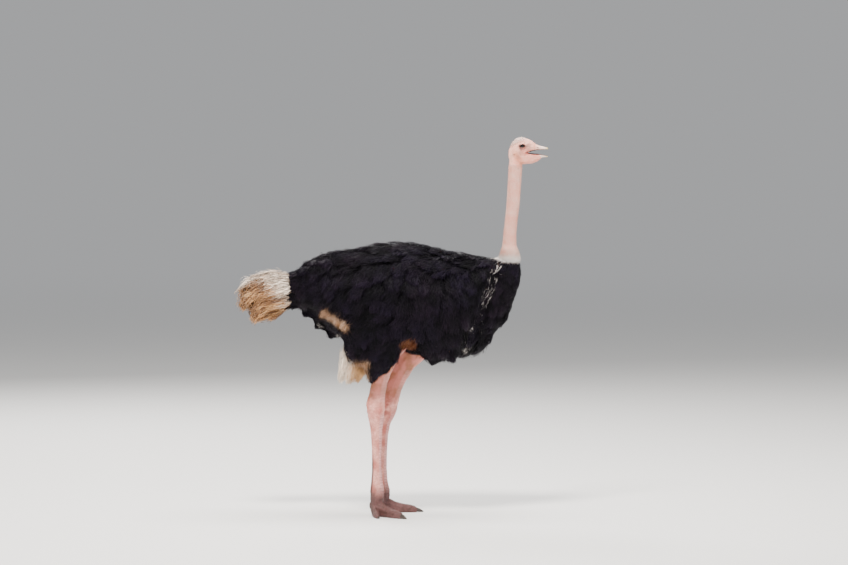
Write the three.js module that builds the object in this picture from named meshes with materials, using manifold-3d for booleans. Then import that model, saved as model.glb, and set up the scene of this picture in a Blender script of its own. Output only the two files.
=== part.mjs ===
// A standing adult male common ostrich, life size, as a still museum model.
// Millimetres, +Z up. The bird looks along +X and its right side faces -Y.
// The origin is on the floor, under the middle of the whole bird.
import * as THREE from "three";
import { mergeVertices } from "three/addons/utils/BufferGeometryUtils.js";
import Module from "manifold-3d";

const wasm = await Module();
wasm.setup();

// Driving dimensions. Stations below are in a working frame whose X is 0 under the hips.
const GAP = 0.3; // clearance between neighbouring pieces
const SMOOTHING = 0.2; // how far a surface may move when its flattest triangles are merged
const RIGHT = -1; // sign of Y on each side of the bird
const LEFT = 1;
const EYE = { x: 772, y: 24, z: 2309, radius: 21 };
const CROWN_CUT = 2192; // head above this level, neck below it
const NECK_CUT = 1905; // upper neck above, lower neck below
const COLLAR_CUT = 1604; // white collar above, black neck base below
const HOCK_CUT = 668; // drumstick above, shank below
const ANKLE_CUT = 150; // shank above, foot below
const BILL_ROOT = 856; // the horny upper bill starts here
const MOUTH_LEVEL = 2270; // the corner of the mouth
const JAW_OVERLAP = 0.001; // lets the upper and lower face join behind the mouth
// The lower bill's horn starts along this slope, in front of the skin of the throat.
const LOWER_HORN = { towards: new THREE.Vector3(0.8, 0, 0.6), through: new THREE.Vector3(884, 0, 2250) };
const DOME_SHARE = 0.68; // size of the one ring between a body's last section and its end point
const PLUME_END = 0.97; // where along a plume its last ring stands, before the pointed tip
const PLUME_ROOT = 0.3; // length of a plume's blunt root, as a share of its half width
const SPLAY = 34; // degrees between the toes
const SPREAD = 26; // sideways step from the main toe's root to the outer toe's
const TOE_CUTS = { main: 76, outer: 58 }; // foot behind these places along the toes, toe ahead

// Each leg: sideways place of the hip, hock and foot, and how far the foot turns outwards.
const LEGS = [
  {
    name: "right",
    side: RIGHT,
    hipY: 130,
    hockY: 102,
    footY: 112,
    footX: -131,
    turnOut: 45,
    // level z, and the front-to-back span of the leg there
    drumstick: [
      [1190, -180, 128],
      [1090, -196, 84],
      [1000, -192, 12],
      [930, -178, -26],
      [880, -168, -50],
      [830, -164, -70],
      [780, -175, -80],
      [735, -193, -84],
      [690, -202, -82],
    ],
    shank: [
      [650, -197, -82],
      [615, -184, -88],
      [580, -177, -95],
      [520, -171, -101],
      [420, -165, -104],
      [310, -163, -105],
      [235, -166, -101],
      [185, -173, -92],
      [140, -178, -84],
    ],
  },
  {
    name: "left",
    side: LEFT,
    hipY: 130,
    hockY: 102,
    footY: 112,
    footX: -98,
    turnOut: 6,
    drumstick: [
      [1190, -60, 262],
      [1090, -52, 252],
      [1000, -30, 198],
      [930, -46, 116],
      [880, -60, 78],
      [830, -72, 48],
      [780, -92, 26],
      [735, -112, 12],
      [690, -121, 0],
    ],
    shank: [
      [650, -119, -8],
      [615, -114, -22],
      [580, -121, -42],
      [520, -131, -61],
      [420, -130, -69],
      [310, -131, -73],
      [235, -136, -72],
      [185, -144, -62],
      [140, -148, -52],
    ],
  },
];

const COLOURS = {
  black: { color: 0x17151a, roughness: 0.85 },
  plume: { color: 0xd9b48c, roughness: 0.9 },
  neckDown: { color: 0xe6c9bb, roughness: 0.9 },
  skin: { color: 0xc98f82, roughness: 0.65 },
  horn: { color: 0xc9b3a2, roughness: 0.5 },
  claw: { color: 0x4a3b38, roughness: 0.55 },
  eye: { color: 0x140b08, roughness: 0.08 },
};

// ---------- shapes ----------

// Smooth values between stations. Each station is [place, value, value, ...], places rising.
function between(stations, place) {
  const last = stations.length - 1;
  if (place <= stations[0][0]) return stations[0].slice(1);
  if (place >= stations[last][0]) return stations[last].slice(1);
  let k = 0;
  while (place > stations[k + 1][0]) k += 1;
  const slopeAt = (i, v) => {
    if (i === 0 || i === last) return 0;
    const before = (stations[i][v] - stations[i - 1][v]) / (stations[i][0] - stations[i - 1][0]);
    const after = (stations[i + 1][v] - stations[i][v]) / (stations[i + 1][0] - stations[i][0]);
    return before * after <= 0 ? 0 : (2 * before * after) / (before + after);
  };
  const [from, to] = [stations[k], stations[k + 1]];
  const step = to[0] - from[0];
  const t = (place - from[0]) / step;
  const t2 = t * t;
  const t3 = t2 * t;
  return from.slice(1).map((_, n) => {
    const v = n + 1;
    return (
      from[v] * (2 * t3 - 3 * t2 + 1) +
      to[v] * (3 * t2 - 2 * t3) +
      slopeAt(k, v) * step * (t3 - 2 * t2 + t) +
      slopeAt(k + 1, v) * step * (t3 - t2)
    );
  });
}

// A closed solid from rings of points, with a point at each end.
function ringSolid(rings, firstTip, lastTip) {
  const sides = rings[0].length;
  const points = [...rings.flat(), firstTip, lastTip];
  const first = rings.length * sides;
  const triangles = [];
  rings.forEach((_, k) => {
    for (let j = 0; j < sides; j += 1) {
      const next = (j + 1) % sides;
      const [a, b] = [k * sides + j, k * sides + next];
      if (k === 0) triangles.push(first, b, a);
      if (k === rings.length - 1) triangles.push(first + 1, a, b);
      else triangles.push(a, b, a + sides, b, b + sides, a + sides);
    }
  });
  const geometry = new THREE.BufferGeometry().setFromPoints(points);
  geometry.setIndex(triangles);
  return solidOf(geometry);
}

function solidOf(geometry) {
  const bare = new THREE.BufferGeometry().setAttribute("position", geometry.getAttribute("position"));
  bare.setIndex(geometry.index);
  const merged = mergeVertices(bare, 1e-3);
  return new wasm.Manifold(
    new wasm.Mesh({
      numProp: 3,
      vertProperties: new Float32Array(merged.attributes.position.array),
      triVerts: new Uint32Array(merged.index.array),
    }),
  );
}

const bent = (value, power) => Math.sign(value) * Math.abs(value) ** (2 / power);

// A rounded body laid along X or Z. A station is [place, low, high, nearY, farY]: along X the
// first pair is a span of Z, along Z it is a span of X. `widest` is the share of low to high
// at which the section is widest, `power` how square it is, `domes` the lengths of the round
// ends, and `lean` how much nearer the underside and the top are to the middle plane.
function barrel(along, stations, options) {
  const { sides, rings, domes, widest = 0.5, power = 2, lean = [0, 0], grow = 0 } = options;
  const start = stations[0][0];
  const end = stations[stations.length - 1][0];
  const middleOf = ([low, high, nearY, farY]) => [low + widest * (high - low), (nearY + farY) / 2];
  const section = (place, share, spot) => {
    const [low, high, nearY, farY] = between(stations, place);
    const [level, y] = middleOf([low, high, nearY, farY]);
    const halfY = ((farY - nearY) / 2 + grow) * share;
    const points = [];
    for (let j = 0; j < sides; j += 1) {
      const turn = (2 * Math.PI * j) / sides;
      const wide = bent(Math.cos(turn), power);
      const tall = bent(Math.sin(turn), power);
      if (along === "x") {
        const reach = ((tall > 0 ? high - level : level - low) + grow) * share;
        const middle = y * (1 - lean[tall > 0 ? 1 : 0] * tall ** 2);
        points.push(new THREE.Vector3(spot, middle + wide * halfY, level + tall * reach));
      } else {
        const reach = ((wide > 0 ? high - level : level - low) + grow) * share;
        points.push(new THREE.Vector3(level + wide * reach, y + tall * halfY, spot));
      }
    }
    return points;
  };
  const tip = (place, spot) => {
    const [level, y] = middleOf(between(stations, place));
    return along === "x" ? new THREE.Vector3(spot, y, level) : new THREE.Vector3(level, y, spot);
  };
  const [startDome, endDome] = domes.map((length) => length + grow);
  const shoulder = Math.sin(Math.acos(DOME_SHARE));
  const sections = [section(start, DOME_SHARE, start - startDome * shoulder)];
  for (let k = 0; k < rings; k += 1) {
    const place = start + ((end - start) * k) / (rings - 1);
    sections.push(section(place, 1, place));
  }
  sections.push(section(end, DOME_SHARE, end + endDome * shoulder));
  return ringSolid(sections, tip(start, start - startDome), tip(end, end + endDome));
}

// A tapering plume along a curve through `points`. `broad` lists half widths from root to tip
// across the direction `side`, and `thick` is the half thickness as a share of them.
function plume(points, broad, side, options = {}) {
  const { thick = 0.5, sides = 6, rings = 6, grow = 0 } = options;
  const curve = new THREE.CatmullRomCurve3(points.map((p) => new THREE.Vector3(...p)));
  const widths = broad.map((width, k) => [k / (broad.length - 1), width]);
  const sections = [];
  for (let k = 0; k < rings; k += 1) {
    const t = k / (rings - 1);
    const centre = curve.getPoint(t * PLUME_END);
    const ahead = curve.getTangent(t * PLUME_END);
    const up = new THREE.Vector3().crossVectors(ahead, new THREE.Vector3(...side)).normalize();
    const across = new THREE.Vector3().crossVectors(up, ahead).normalize();
    const [half] = between(widths, t);
    const ring = [];
    for (let j = 0; j < sides; j += 1) {
      const turn = (2 * Math.PI * j) / sides;
      ring.push(
        centre
          .clone()
          .addScaledVector(across, (half + grow) * Math.cos(turn))
          .addScaledVector(up, (half * thick + grow) * Math.sin(turn)),
      );
    }
    sections.push(ring);
  }
  const rootTip = curve.getPoint(0).addScaledVector(curve.getTangent(0), -broad[0] * PLUME_ROOT - grow);
  const endTip = curve.getPoint(1).addScaledVector(curve.getTangent(1), grow);
  return ringSolid(sections, rootTip, endTip);
}

const joined = (solids) => wasm.Manifold.union(solids);

// The biggest body of a solid, without the slivers that a cut can leave.
function largest(solid) {
  const bodies = solid.decompose();
  return bodies.reduce((most, body) => (body.volume() > most.volume() ? body : most));
}

// Keeps what lies beyond a plane: `towards` is its normal, `at` its distance from the origin.
const beyond = (solid, towards, at) => solid.trimByPlane(towards, at);
const above = (solid, level) => beyond(solid, [0, 0, 1], level + GAP / 2);
const below = (solid, level) => beyond(solid, [0, 0, -1], -level + GAP / 2);

function named(name, solid, look) {
  const mesh = largest(solid).simplify(SMOOTHING).getMesh();
  const geometry = new THREE.BufferGeometry();
  const places = new Float32Array(mesh.numVert * 3);
  for (let i = 0; i < mesh.numVert; i += 1) {
    places.set(mesh.vertProperties.subarray(i * mesh.numProp, i * mesh.numProp + 3), i * 3);
  }
  geometry.setAttribute("position", new THREE.BufferAttribute(places, 3));
  geometry.setIndex(new THREE.BufferAttribute(mesh.triVerts, 1));
  geometry.computeVertexNormals();
  const material = new THREE.MeshStandardMaterial({ ...COLOURS[look], metalness: 0 });
  const piece = new THREE.Mesh(geometry, material);
  piece.name = name;
  return piece;
}

// ---------- trunk, wings and tail ----------

// Mirrors stations given for the left side on to one side of the bird.
function onSide(side, stations) {
  return stations.map(([place, low, high, inner, outer]) => {
    const [nearY, farY] = [inner * side, outer * side].sort((a, b) => a - b);
    return [place, low, high, nearY, farY];
  });
}

// Drooping lobes along a lower edge: [x and level of the root, x and level of the tip, half width].
function fringe(lobes, y, grow) {
  return lobes.map(([x, z, tipX, tipZ, half]) =>
    plume(
      [
        [x, y, z],
        [(x * 2 + tipX) / 3, y * 1.02, z + (tipZ - z) * 0.45],
        [tipX, y * 0.98, tipZ],
      ],
      [half * 0.7, half, half * 0.7, half * 0.18],
      [1, 0, 0],
      { sides: 5, rings: 4, thick: 0.8, grow },
    ),
  );
}

// The plumed trunk from the tail coverts to the breast, without the wings.
function trunk(grow = 0) {
  const stations = [
    [-652, 1330, 1520, -58, 58],
    [-600, 1306, 1568, -94, 94],
    [-540, 1284, 1606, -126, 126],
    [-480, 1212, 1636, -148, 148],
    [-400, 1136, 1650, -168, 168],
    [-320, 1076, 1664, -184, 184],
    [-206, 1052, 1688, -198, 198],
    [-112, 1040, 1710, -206, 206],
    [12, 1024, 1717, -216, 216],
    [137, 1004, 1704, -218, 218],
    [262, 990, 1670, -210, 210],
    [387, 984, 1648, -190, 190],
    [475, 988, 1634, -162, 162],
    [540, 1040, 1624, -126, 126],
    [600, 1150, 1611, -88, 88],
    [640, 1240, 1600, -66, 66],
  ];
  const body = barrel("x", stations, { sides: 14, rings: 12, domes: [24, 24], power: 2.25, grow });
  const lobes = [
    [-590, 1400, -684, 1296, 56],
    [-528, 1320, -592, 1246, 56],
    [-458, 1240, -520, 1172, 56],
    [-382, 1180, -432, 1108, 56],
  ];
  return joined([body, ...fringe(lobes, 0, grow)]);
}

// The black breast and the base of the neck, a pear shape that rises from the trunk.
function breast(grow = 0) {
  const stations = [
    [1150, 420, 616, -92, 92],
    [1222, 400, 686, -132, 132],
    [1284, 400, 709, -144, 144],
    [1347, 420, 727, -140, 140],
    [1409, 462, 750, -124, 124],
    [1472, 520, 768, -104, 104],
    [1534, 580, 774, -82, 82],
    [1590, 628, 769, -64, 64],
    [1640, 640, 762, -56, 56],
  ];
  return barrel("z", stations, { sides: 14, rings: 8, domes: [110, 20], grow });
}

// A folded wing: a drooping shield of soft plumage that leans on the side of the trunk.
function wing(side, grow = 0) {
  const stations = onSide(side, [
    [-552, 1318, 1440, 96, 134],
    [-469, 1270, 1524, 116, 178],
    [-400, 1222, 1572, 122, 214],
    [-319, 1160, 1604, 126, 246],
    [-200, 1110, 1640, 128, 274],
    [-90, 1090, 1662, 130, 292],
    [20, 1076, 1670, 130, 300],
    [87, 1044, 1666, 130, 302],
    [150, 996, 1656, 130, 302],
    [230, 972, 1642, 128, 298],
    [294, 968, 1634, 124, 290],
    [365, 992, 1626, 118, 274],
    [420, 1090, 1622, 110, 254],
    [470, 1205, 1618, 100, 230],
    [520, 1318, 1612, 86, 204],
    [560, 1420, 1604, 70, 176],
    [606, 1510, 1592, 50, 132],
  ]);
  const lean = [0.12, 0.44];
  const options = { sides: 11, rings: 12, domes: [24, 16], widest: 0.42, power: 2.2, lean, grow };
  const lobes = [
    [-440, 1310, -506, 1228, 46],
    [-330, 1240, -392, 1144, 50],
    [320, 1060, 344, 970, 50],
    [205, 1050, 214, 958, 52],
  ];
  return joined([barrel("x", stations, options), ...fringe(lobes, 200 * side, grow)]);
}

// The long flank plumes that droop from the wing over the drumstick.
function flank(side, grow = 0) {
  const stations = onSide(side, [
    [868, -184, -146, 206, 226],
    [905, -196, -96, 184, 240],
    [945, -226, -56, 160, 254],
    [968, -318, -28, 146, 262],
    [1000, -336, 4, 138, 270],
    [1060, -330, 14, 134, 278],
    [1130, -322, 30, 132, 282],
    [1210, -290, 60, 132, 280],
  ]);
  const options = { sides: 10, rings: 6, domes: [22, 40], power: 2.2, grow };
  const lobes = [
    [-262, 1040, -300, 966, 50],
    [-130, 960, -172, 848, 42],
    [-45, 1030, -80, 906, 50],
  ];
  return joined([barrel("z", stations, options), ...fringe(lobes, 206 * side, grow)]);
}

// The tan and white wing quills that hang behind the drumstick.
function wingPlume(side) {
  const quills = [
    [-296, -362, 860, 36, 172],
    [-262, -308, 852, 44, 202],
    [-222, -250, 862, 42, 186],
  ];
  return joined(
    quills.map(([rootX, tipX, tipZ, half, y]) =>
      plume(
        [
          [rootX, y * side, 1060],
          [(rootX + tipX) / 2, y * side * 1.01, 950],
          [tipX, y * side, tipZ],
        ],
        [half, half * 1.1, half * 0.9, half * 0.25],
        [1, 0, 0],
        { sides: 5, rings: 4, thick: 0.7 },
      ),
    ),
  );
}

// The tail: a full soft tuft that arches back and droops, with a ragged edge of plume tips.
function tail() {
  const tuft = barrel(
    "x",
    [
      [-962, 1352, 1458, -56, 56],
      [-930, 1316, 1484, -84, 84],
      [-890, 1284, 1503, -102, 102],
      [-831, 1262, 1523, -112, 112],
      [-756, 1262, 1531, -104, 104],
      [-700, 1290, 1528, -84, 84],
      [-640, 1346, 1502, -56, 56],
    ],
    { sides: 10, rings: 7, domes: [20, 14], power: 2.2 },
  );
  const rows = [
    { across: [-34, 34], root: [-880, 1450], tip: [-992, 1396], half: 44 },
    { across: [-80, 0, 80], root: [-870, 1390], tip: [-974, 1306], half: 46 },
    { across: [-78, 0, 78], root: [-806, 1340], tip: [-902, 1222], half: 48 },
    { across: [-40, 40], root: [-720, 1340], tip: [-790, 1226], half: 48 },
  ];
  const tips = rows.flatMap(({ across, root, tip, half }) =>
    across.map((y, k) => {
      const lift = k % 2 ? 0 : 14;
      return plume(
        [
          [root[0], y * 0.9, root[1]],
          [(root[0] + tip[0]) / 2 - 12, y, (root[1] + tip[1]) / 2 + 14],
          [tip[0] + lift * 0.6, y * 1.06, tip[1] + lift],
        ],
        [half * 0.8, half, half * 0.8, half * 0.22],
        [0, 1, 0],
        { sides: 5, rings: 3, thick: 0.7 },
      );
    }),
  );
  return joined([tuft, ...tips]);
}

// ---------- neck and head ----------

// The downy neck: level, front-to-back span and width. It flares into a white collar.
function neckBody(grow = 0) {
  const stations = [
    [1560, 640, 766, -60, 60],
    [1596, 636, 766, -60, 60],
    [1612, 637, 760, -59, 59],
    [1630, 642, 756, -56, 56],
    [1659, 650, 747, -45, 45],
    [1722, 656, 737, -38, 38],
    [1847, 669, 747, -35, 35],
    [1972, 681, 762, -35, 35],
    [2097, 688, 769, -35, 35],
    [2159, 691, 774, -35, 35],
    [2200, 692, 782, -36, 36],
    [2236, 698, 776, -34, 34],
  ];
  return barrel("z", stations, { sides: 12, rings: 11, domes: [10, 24], grow });
}

// Cranium, face and upper bill: the level of the mouth line is its underside in front.
function upperHead(grow = 0) {
  const stations = [
    [699, 2222, 2298, -20, 20],
    [710, 2212, 2322, -29, 29],
    [728, 2206, 2345, -37, 37],
    [750, 2204, 2358, -42, 42],
    [772, 2206, 2362, -43, 43],
    [792, 2226, 2360, -41, 41],
    [808, 2256, 2356, -37, 37],
    [826, 2274, 2348, -32, 32],
    [844, 2280, 2336, -27, 27],
    [860, 2282, 2321, -22, 22],
    [876, 2284, 2313, -19, 19],
    [900, 2286, 2307, -16.5, 16.5],
    [920, 2287, 2302, -13, 13],
    [931, 2288, 2299, -9, 9],
  ];
  return barrel("x", stations, { sides: 12, rings: 11, domes: [8, 6], widest: 0.42, power: 2.15, grow });
}

// Lower jaw with the skin of the throat, up to its horny tip.
function lowerHead(grow = 0) {
  const stations = [
    [716, 2190, 2262, -28, 28],
    [745, 2192, 2266, -37, 37],
    [772, 2194, 2268, -39, 39],
    [797, 2197, 2268, -37, 37],
    [825, 2199, 2266, -31, 31],
    [850, 2203, 2264, -25, 25],
    [870, 2213, 2262, -20.5, 20.5],
    [884, 2225, 2260, -18, 18],
    [898, 2238, 2257, -16, 16],
    [916, 2242, 2252, -13, 13],
    [930, 2242, 2249, -9, 9],
  ];
  return barrel("x", stations, { sides: 10, rings: 8, domes: [10, 6], widest: 0.62, power: 2.2, grow });
}

// A wedge that keeps the jaws apart from the corner of the mouth to the tips.
function gape() {
  const stations = [
    [800, 2268, 2269, -60, 60],
    [830, 2266.5, 2275, -60, 60],
    [870, 2262, 2283, -60, 60],
    [960, 2246, 2291, -60, 60],
  ];
  return barrel("x", stations, { sides: 8, rings: 6, domes: [1, 1], power: 8 });
}

function eyeball(side, grow = 0) {
  const ball = new THREE.SphereGeometry(EYE.radius + grow, 12, 8);
  ball.rotateX(Math.PI / 2);
  ball.translate(EYE.x, EYE.y * side, EYE.z);
  return solidOf(ball);
}

function headPieces() {
  const eyes = [RIGHT, LEFT].map((side) => eyeball(side, GAP));
  const column = joined([upperHead(), lowerHead(), neckBody()]).subtract(gape());
  const whole = eyes.reduce((solid, eye) => solid.subtract(eye), above(column, CROWN_CUT));
  const slope = LOWER_HORN.towards;
  const slopeAt = slope.dot(LOWER_HORN.through);
  const upperHorn = beyond(upperHead().subtract(gape()), [1, 0, 0], BILL_ROOT + GAP / 2);
  const lowerHorn = beyond(lowerHead().subtract(gape()), slope.toArray(), slopeAt + GAP / 2);
  const upperFace = beyond(beyond(whole, [-1, 0, 0], -BILL_ROOT + GAP / 2), [0, 0, 1], MOUTH_LEVEL);
  const behindSlope = beyond(whole, slope.clone().negate().toArray(), -slopeAt + GAP / 2);
  const lowerFace = beyond(behindSlope, [0, 0, -1], -MOUTH_LEVEL - JAW_OVERLAP);
  return [
    named("head", joined([upperFace, lowerFace]), "neckDown"),
    named("bill_upper", upperHorn, "horn"),
    named("bill_lower", lowerHorn, "horn"),
    named("eye_right", eyeball(RIGHT), "eye"),
    named("eye_left", eyeball(LEFT), "eye"),
    named("neck_upper", above(below(column, CROWN_CUT), NECK_CUT), "neckDown"),
    named("neck_lower", above(below(column, NECK_CUT), COLLAR_CUT), "neckDown"),
  ];
}

// ---------- legs ----------

// Drumstick and shank in one, from the hip down to the ankle.
function legBody(leg, grow = 0) {
  const halves = [
    [140, 40],
    [185, 35],
    [235, 29],
    [310, 26],
    [420, 25.5],
    [520, 28],
    [580, 32],
    [615, 38],
    [650, 45],
    [690, 46],
    [735, 42],
    [780, 39],
    [830, 41],
    [880, 49],
    [930, 58],
    [1000, 70],
    [1090, 78],
    [1190, 74],
  ];
  const middles = [
    [140, leg.footY],
    [500, (leg.footY + leg.hockY) / 2],
    [690, leg.hockY],
    [830, leg.hockY + 8],
    [1000, leg.hipY],
    [1190, leg.hipY],
  ];
  const levels = [...leg.drumstick, ...leg.shank].sort((a, b) => a[0] - b[0]);
  const stations = levels.map(([z, back, front]) => {
    const [middle] = between(middles, z);
    const [half] = between(halves, z);
    return [z, back, front, leg.side * middle - half, leg.side * middle + half];
  });
  return barrel("z", stations, { sides: 11, rings: 16, domes: [30, 50], power: 2.1, grow });
}

// The main toe in the foot's own frame: x ahead of the shank, z from the floor up.
function mainToe(side, grow = 0) {
  const stations = onSide(-side, [
    [-38, 34, 104, -30, 32],
    [-8, 16, 112, -36, 36],
    [26, -3, 98, -33, 33],
    [60, -7, 80, -29, 31],
    [90, -9, 66, -26, 28],
    [120, -9, 58, -28, 30],
    [150, -7, 51, -24, 26],
    [180, -9, 47, -26, 28],
    [206, -8, 38, -19, 21],
  ]);
  return barrel("x", stations, { sides: 9, rings: 9, domes: [16, 12], widest: 0.42, power: 2.3, grow });
}

// Turns the outer toe, built along X, to its place beside the main toe.
const splayed = (solid, side) => solid.rotate([0, 0, side * SPLAY]).translate([0, side * SPREAD, 0]);

// The small outer toe.
function outerToe(side, grow = 0) {
  const stations = [
    [-6, 12, 84, -22, 22],
    [24, -4, 70, -21, 21],
    [52, -7, 50, -18, 18],
    [80, -8, 40, -19, 19],
    [106, -8, 33, -16, 16],
    [124, -6, 24, -11, 11],
  ];
  const options = { sides: 8, rings: 6, domes: [12, 9], widest: 0.42, power: 2.3, grow };
  return splayed(barrel("x", stations, options), side);
}

function clawBody(stations, grow = 0) {
  return barrel("x", stations, { sides: 6, rings: 4, domes: [4, 4], widest: 0.3, power: 2.4, grow });
}

function mainClaw(grow = 0) {
  return clawBody(
    [
      [190, 9, 37, -14, 14],
      [218, 3, 31, -14, 14],
      [240, 1, 21, -11, 11],
      [256, 1, 10, -5, 5],
    ],
    grow,
  );
}

function outerClaw(side, grow = 0) {
  const stations = [
    [116, 6, 22, -7, 7],
    [132, 2, 18, -7, 7],
    [143, 1, 11, -4, 4],
  ];
  return splayed(clawBody(stations, grow), side);
}

// Foot, toes and claws of one leg, in the foot's own frame, whose X runs along the main toe.
function footPieces(leg) {
  const { name, side } = leg;
  const onFloor = (solid) => beyond(solid, [0, 0, 1], 0);
  const splay = THREE.MathUtils.degToRad(side * SPLAY);
  const mainAxis = [1, 0, 0];
  const outerAxis = [Math.cos(splay), Math.sin(splay), 0];
  const outerAt = TOE_CUTS.outer + side * SPREAD * Math.sin(splay);
  const backOf = (axis) => axis.map((v) => -v);
  // The joint between shank and toes, as round as the end of the shank.
  const joint = barrel(
    "z",
    [
      [44, -34, 34, -32, 32],
      [80, -44, 46, -38, 38],
      [120, -47, 47, -40.5, 40.5],
      [170, -45, 45, -38, 38],
    ],
    { sides: 11, rings: 3, domes: [16, 10] },
  );
  const foot = joined([
    below(joint, ANKLE_CUT),
    beyond(mainToe(side), backOf(mainAxis), -TOE_CUTS.main + GAP / 2),
    beyond(outerToe(side), backOf(outerAxis), -outerAt + GAP / 2),
  ]);
  const main = beyond(mainToe(side), mainAxis, TOE_CUTS.main + GAP / 2);
  const outer = beyond(outerToe(side), outerAxis, outerAt + GAP / 2);
  const besideOuter = joined([mainToe(side, GAP), outerClaw(side, GAP)]);
  return [
    named(`foot_${name}`, onFloor(foot), "skin"),
    named(`toe_main_${name}`, onFloor(main.subtract(mainClaw(GAP))), "skin"),
    named(`toe_outer_${name}`, onFloor(outer.subtract(besideOuter)), "skin"),
    named(`claw_main_${name}`, onFloor(mainClaw()), "claw"),
    named(`claw_outer_${name}`, onFloor(outerClaw(side)), "claw"),
  ];
}

function placedFoot(leg) {
  const foot = new THREE.Group();
  foot.position.set(leg.footX, leg.side * leg.footY, 0);
  foot.rotation.z = THREE.MathUtils.degToRad(leg.side * leg.turnOut);
  foot.add(...footPieces(leg));
  return foot;
}

// ---------- the whole bird ----------

const bird = new THREE.Group();
const trunkClear = trunk(GAP);
const breastClear = breast(GAP);
const legsClear = LEGS.map((leg) => legBody(leg, GAP));

bird.add(named("trunk", trunk(), "black"));
bird.add(named("neck_base", below(breast().subtract(trunkClear), COLLAR_CUT), "black"));
bird.add(...headPieces());
bird.add(named("tail", tail().subtract(trunkClear), "plume"));
LEGS.forEach((leg, k) => {
  const { name, side } = leg;
  const limb = legBody(leg).subtract(trunkClear);
  const wingSolid = wing(side).subtract(trunkClear).subtract(breastClear).subtract(legsClear[k]);
  const wingClear = wing(side, GAP);
  const flankSolid = flank(side).subtract(trunkClear).subtract(legsClear[k]).subtract(wingClear);
  const flankClear = flank(side, GAP);
  const plumes = wingPlume(side)
    .subtract(trunkClear)
    .subtract(legsClear[k])
    .subtract(wingClear)
    .subtract(flankClear);
  bird.add(named(`wing_${name}`, wingSolid, "black"));
  bird.add(named(`flank_${name}`, flankSolid, "black"));
  bird.add(named(`wing_plume_${name}`, plumes, "plume"));
  bird.add(named(`drumstick_${name}`, above(limb, HOCK_CUT), "skin"));
  bird.add(named(`shank_${name}`, above(below(limb, HOCK_CUT), ANKLE_CUT), "skin"));
  bird.add(placedFoot(leg));
});

// The bird stands on the floor, with the origin under the middle of its box.
const box = new THREE.Box3().setFromObject(bird, true);
const middle = box.getCenter(new THREE.Vector3());
bird.position.set(-middle.x, -middle.y, -box.min.z);

export default bird;
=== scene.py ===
import math

import bmesh
import bpy
import numpy as np
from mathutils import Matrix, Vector
from mathutils.bvhtree import BVHTree


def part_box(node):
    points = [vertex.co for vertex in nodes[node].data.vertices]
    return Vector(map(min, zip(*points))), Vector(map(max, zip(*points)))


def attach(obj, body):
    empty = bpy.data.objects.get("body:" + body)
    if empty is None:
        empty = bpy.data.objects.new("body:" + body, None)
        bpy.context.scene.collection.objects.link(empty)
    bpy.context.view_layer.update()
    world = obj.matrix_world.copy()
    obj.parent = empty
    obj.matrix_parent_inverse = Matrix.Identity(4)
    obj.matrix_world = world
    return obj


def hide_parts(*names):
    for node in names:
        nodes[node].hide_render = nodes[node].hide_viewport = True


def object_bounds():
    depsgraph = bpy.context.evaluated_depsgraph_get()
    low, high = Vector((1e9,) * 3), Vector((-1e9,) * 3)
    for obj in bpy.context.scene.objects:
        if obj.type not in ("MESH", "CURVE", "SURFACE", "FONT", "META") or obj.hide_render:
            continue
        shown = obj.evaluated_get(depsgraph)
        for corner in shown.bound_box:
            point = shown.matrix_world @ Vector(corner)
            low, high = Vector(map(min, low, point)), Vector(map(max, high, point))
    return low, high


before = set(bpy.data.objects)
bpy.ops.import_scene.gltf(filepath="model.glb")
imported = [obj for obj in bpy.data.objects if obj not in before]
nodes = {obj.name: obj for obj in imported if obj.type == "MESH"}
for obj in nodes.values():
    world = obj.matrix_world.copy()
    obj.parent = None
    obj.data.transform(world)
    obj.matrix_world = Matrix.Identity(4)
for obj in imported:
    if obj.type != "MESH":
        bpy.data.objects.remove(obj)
cadLow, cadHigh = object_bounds()
sides = {"right": -1, "left": 1}
down = np.array((0.0, 0.0, -1.0))
print("frame loaded, %.2f m tall" % (cadHigh.z - cadLow.z))


# Camera: a long lens from far away, a little above the top of the head.
cameraPlan = {
    "place": (0.0284, -25.0, 2.7),
    "focalPixels": 4000.0,
    "framePixels": (848, 565),
    "straightAhead": (398.0, 83.5),  # where the frame shows the point level with the camera
    "sensor": 36.0,
}


def makeCamera(plan):
    wide, tall = plan["framePixels"]
    data = bpy.data.cameras.new("camera")
    data.sensor_width = plan["sensor"]
    data.lens = plan["focalPixels"] / wide * plan["sensor"]
    data.clip_start = 1.0
    data.clip_end = 900.0
    camera = bpy.data.objects.new("camera", data)
    bpy.context.scene.collection.objects.link(camera)
    aheadX, aheadY = plan["straightAhead"]
    right = (wide / 2 - aheadX) / plan["focalPixels"]
    drop = (tall / 2 - aheadY) / plan["focalPixels"]
    camera.location = plan["place"]
    camera.rotation_mode = "QUATERNION"
    camera.rotation_quaternion = Vector((right, 1.0, -drop)).to_track_quat("-Z", "Y")
    bpy.context.scene.camera = camera


makeCamera(cameraPlan)


# Arrays and meshes.
def unit(vectors):
    return vectors / np.maximum(np.linalg.norm(vectors, axis=-1, keepdims=True), 1e-9)


def ramp(values, start, end):
    t = np.clip((values - start) / (end - start), 0, 1)
    return t * t * (3 - 2 * t)


def mixed(a, b, share):
    return a + (b - a) * share


def latticeValue(cell, seed):
    mixedUp = cell[..., 0] * 73856093 ^ cell[..., 1] * 19349663 ^ cell[..., 2] * 83492791 ^ seed * 7919
    mixedUp = (mixedUp ^ (mixedUp >> 13)) * 1274126177
    return ((mixedUp ^ (mixedUp >> 16)) & 0xFFFF) / 65535.0


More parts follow.
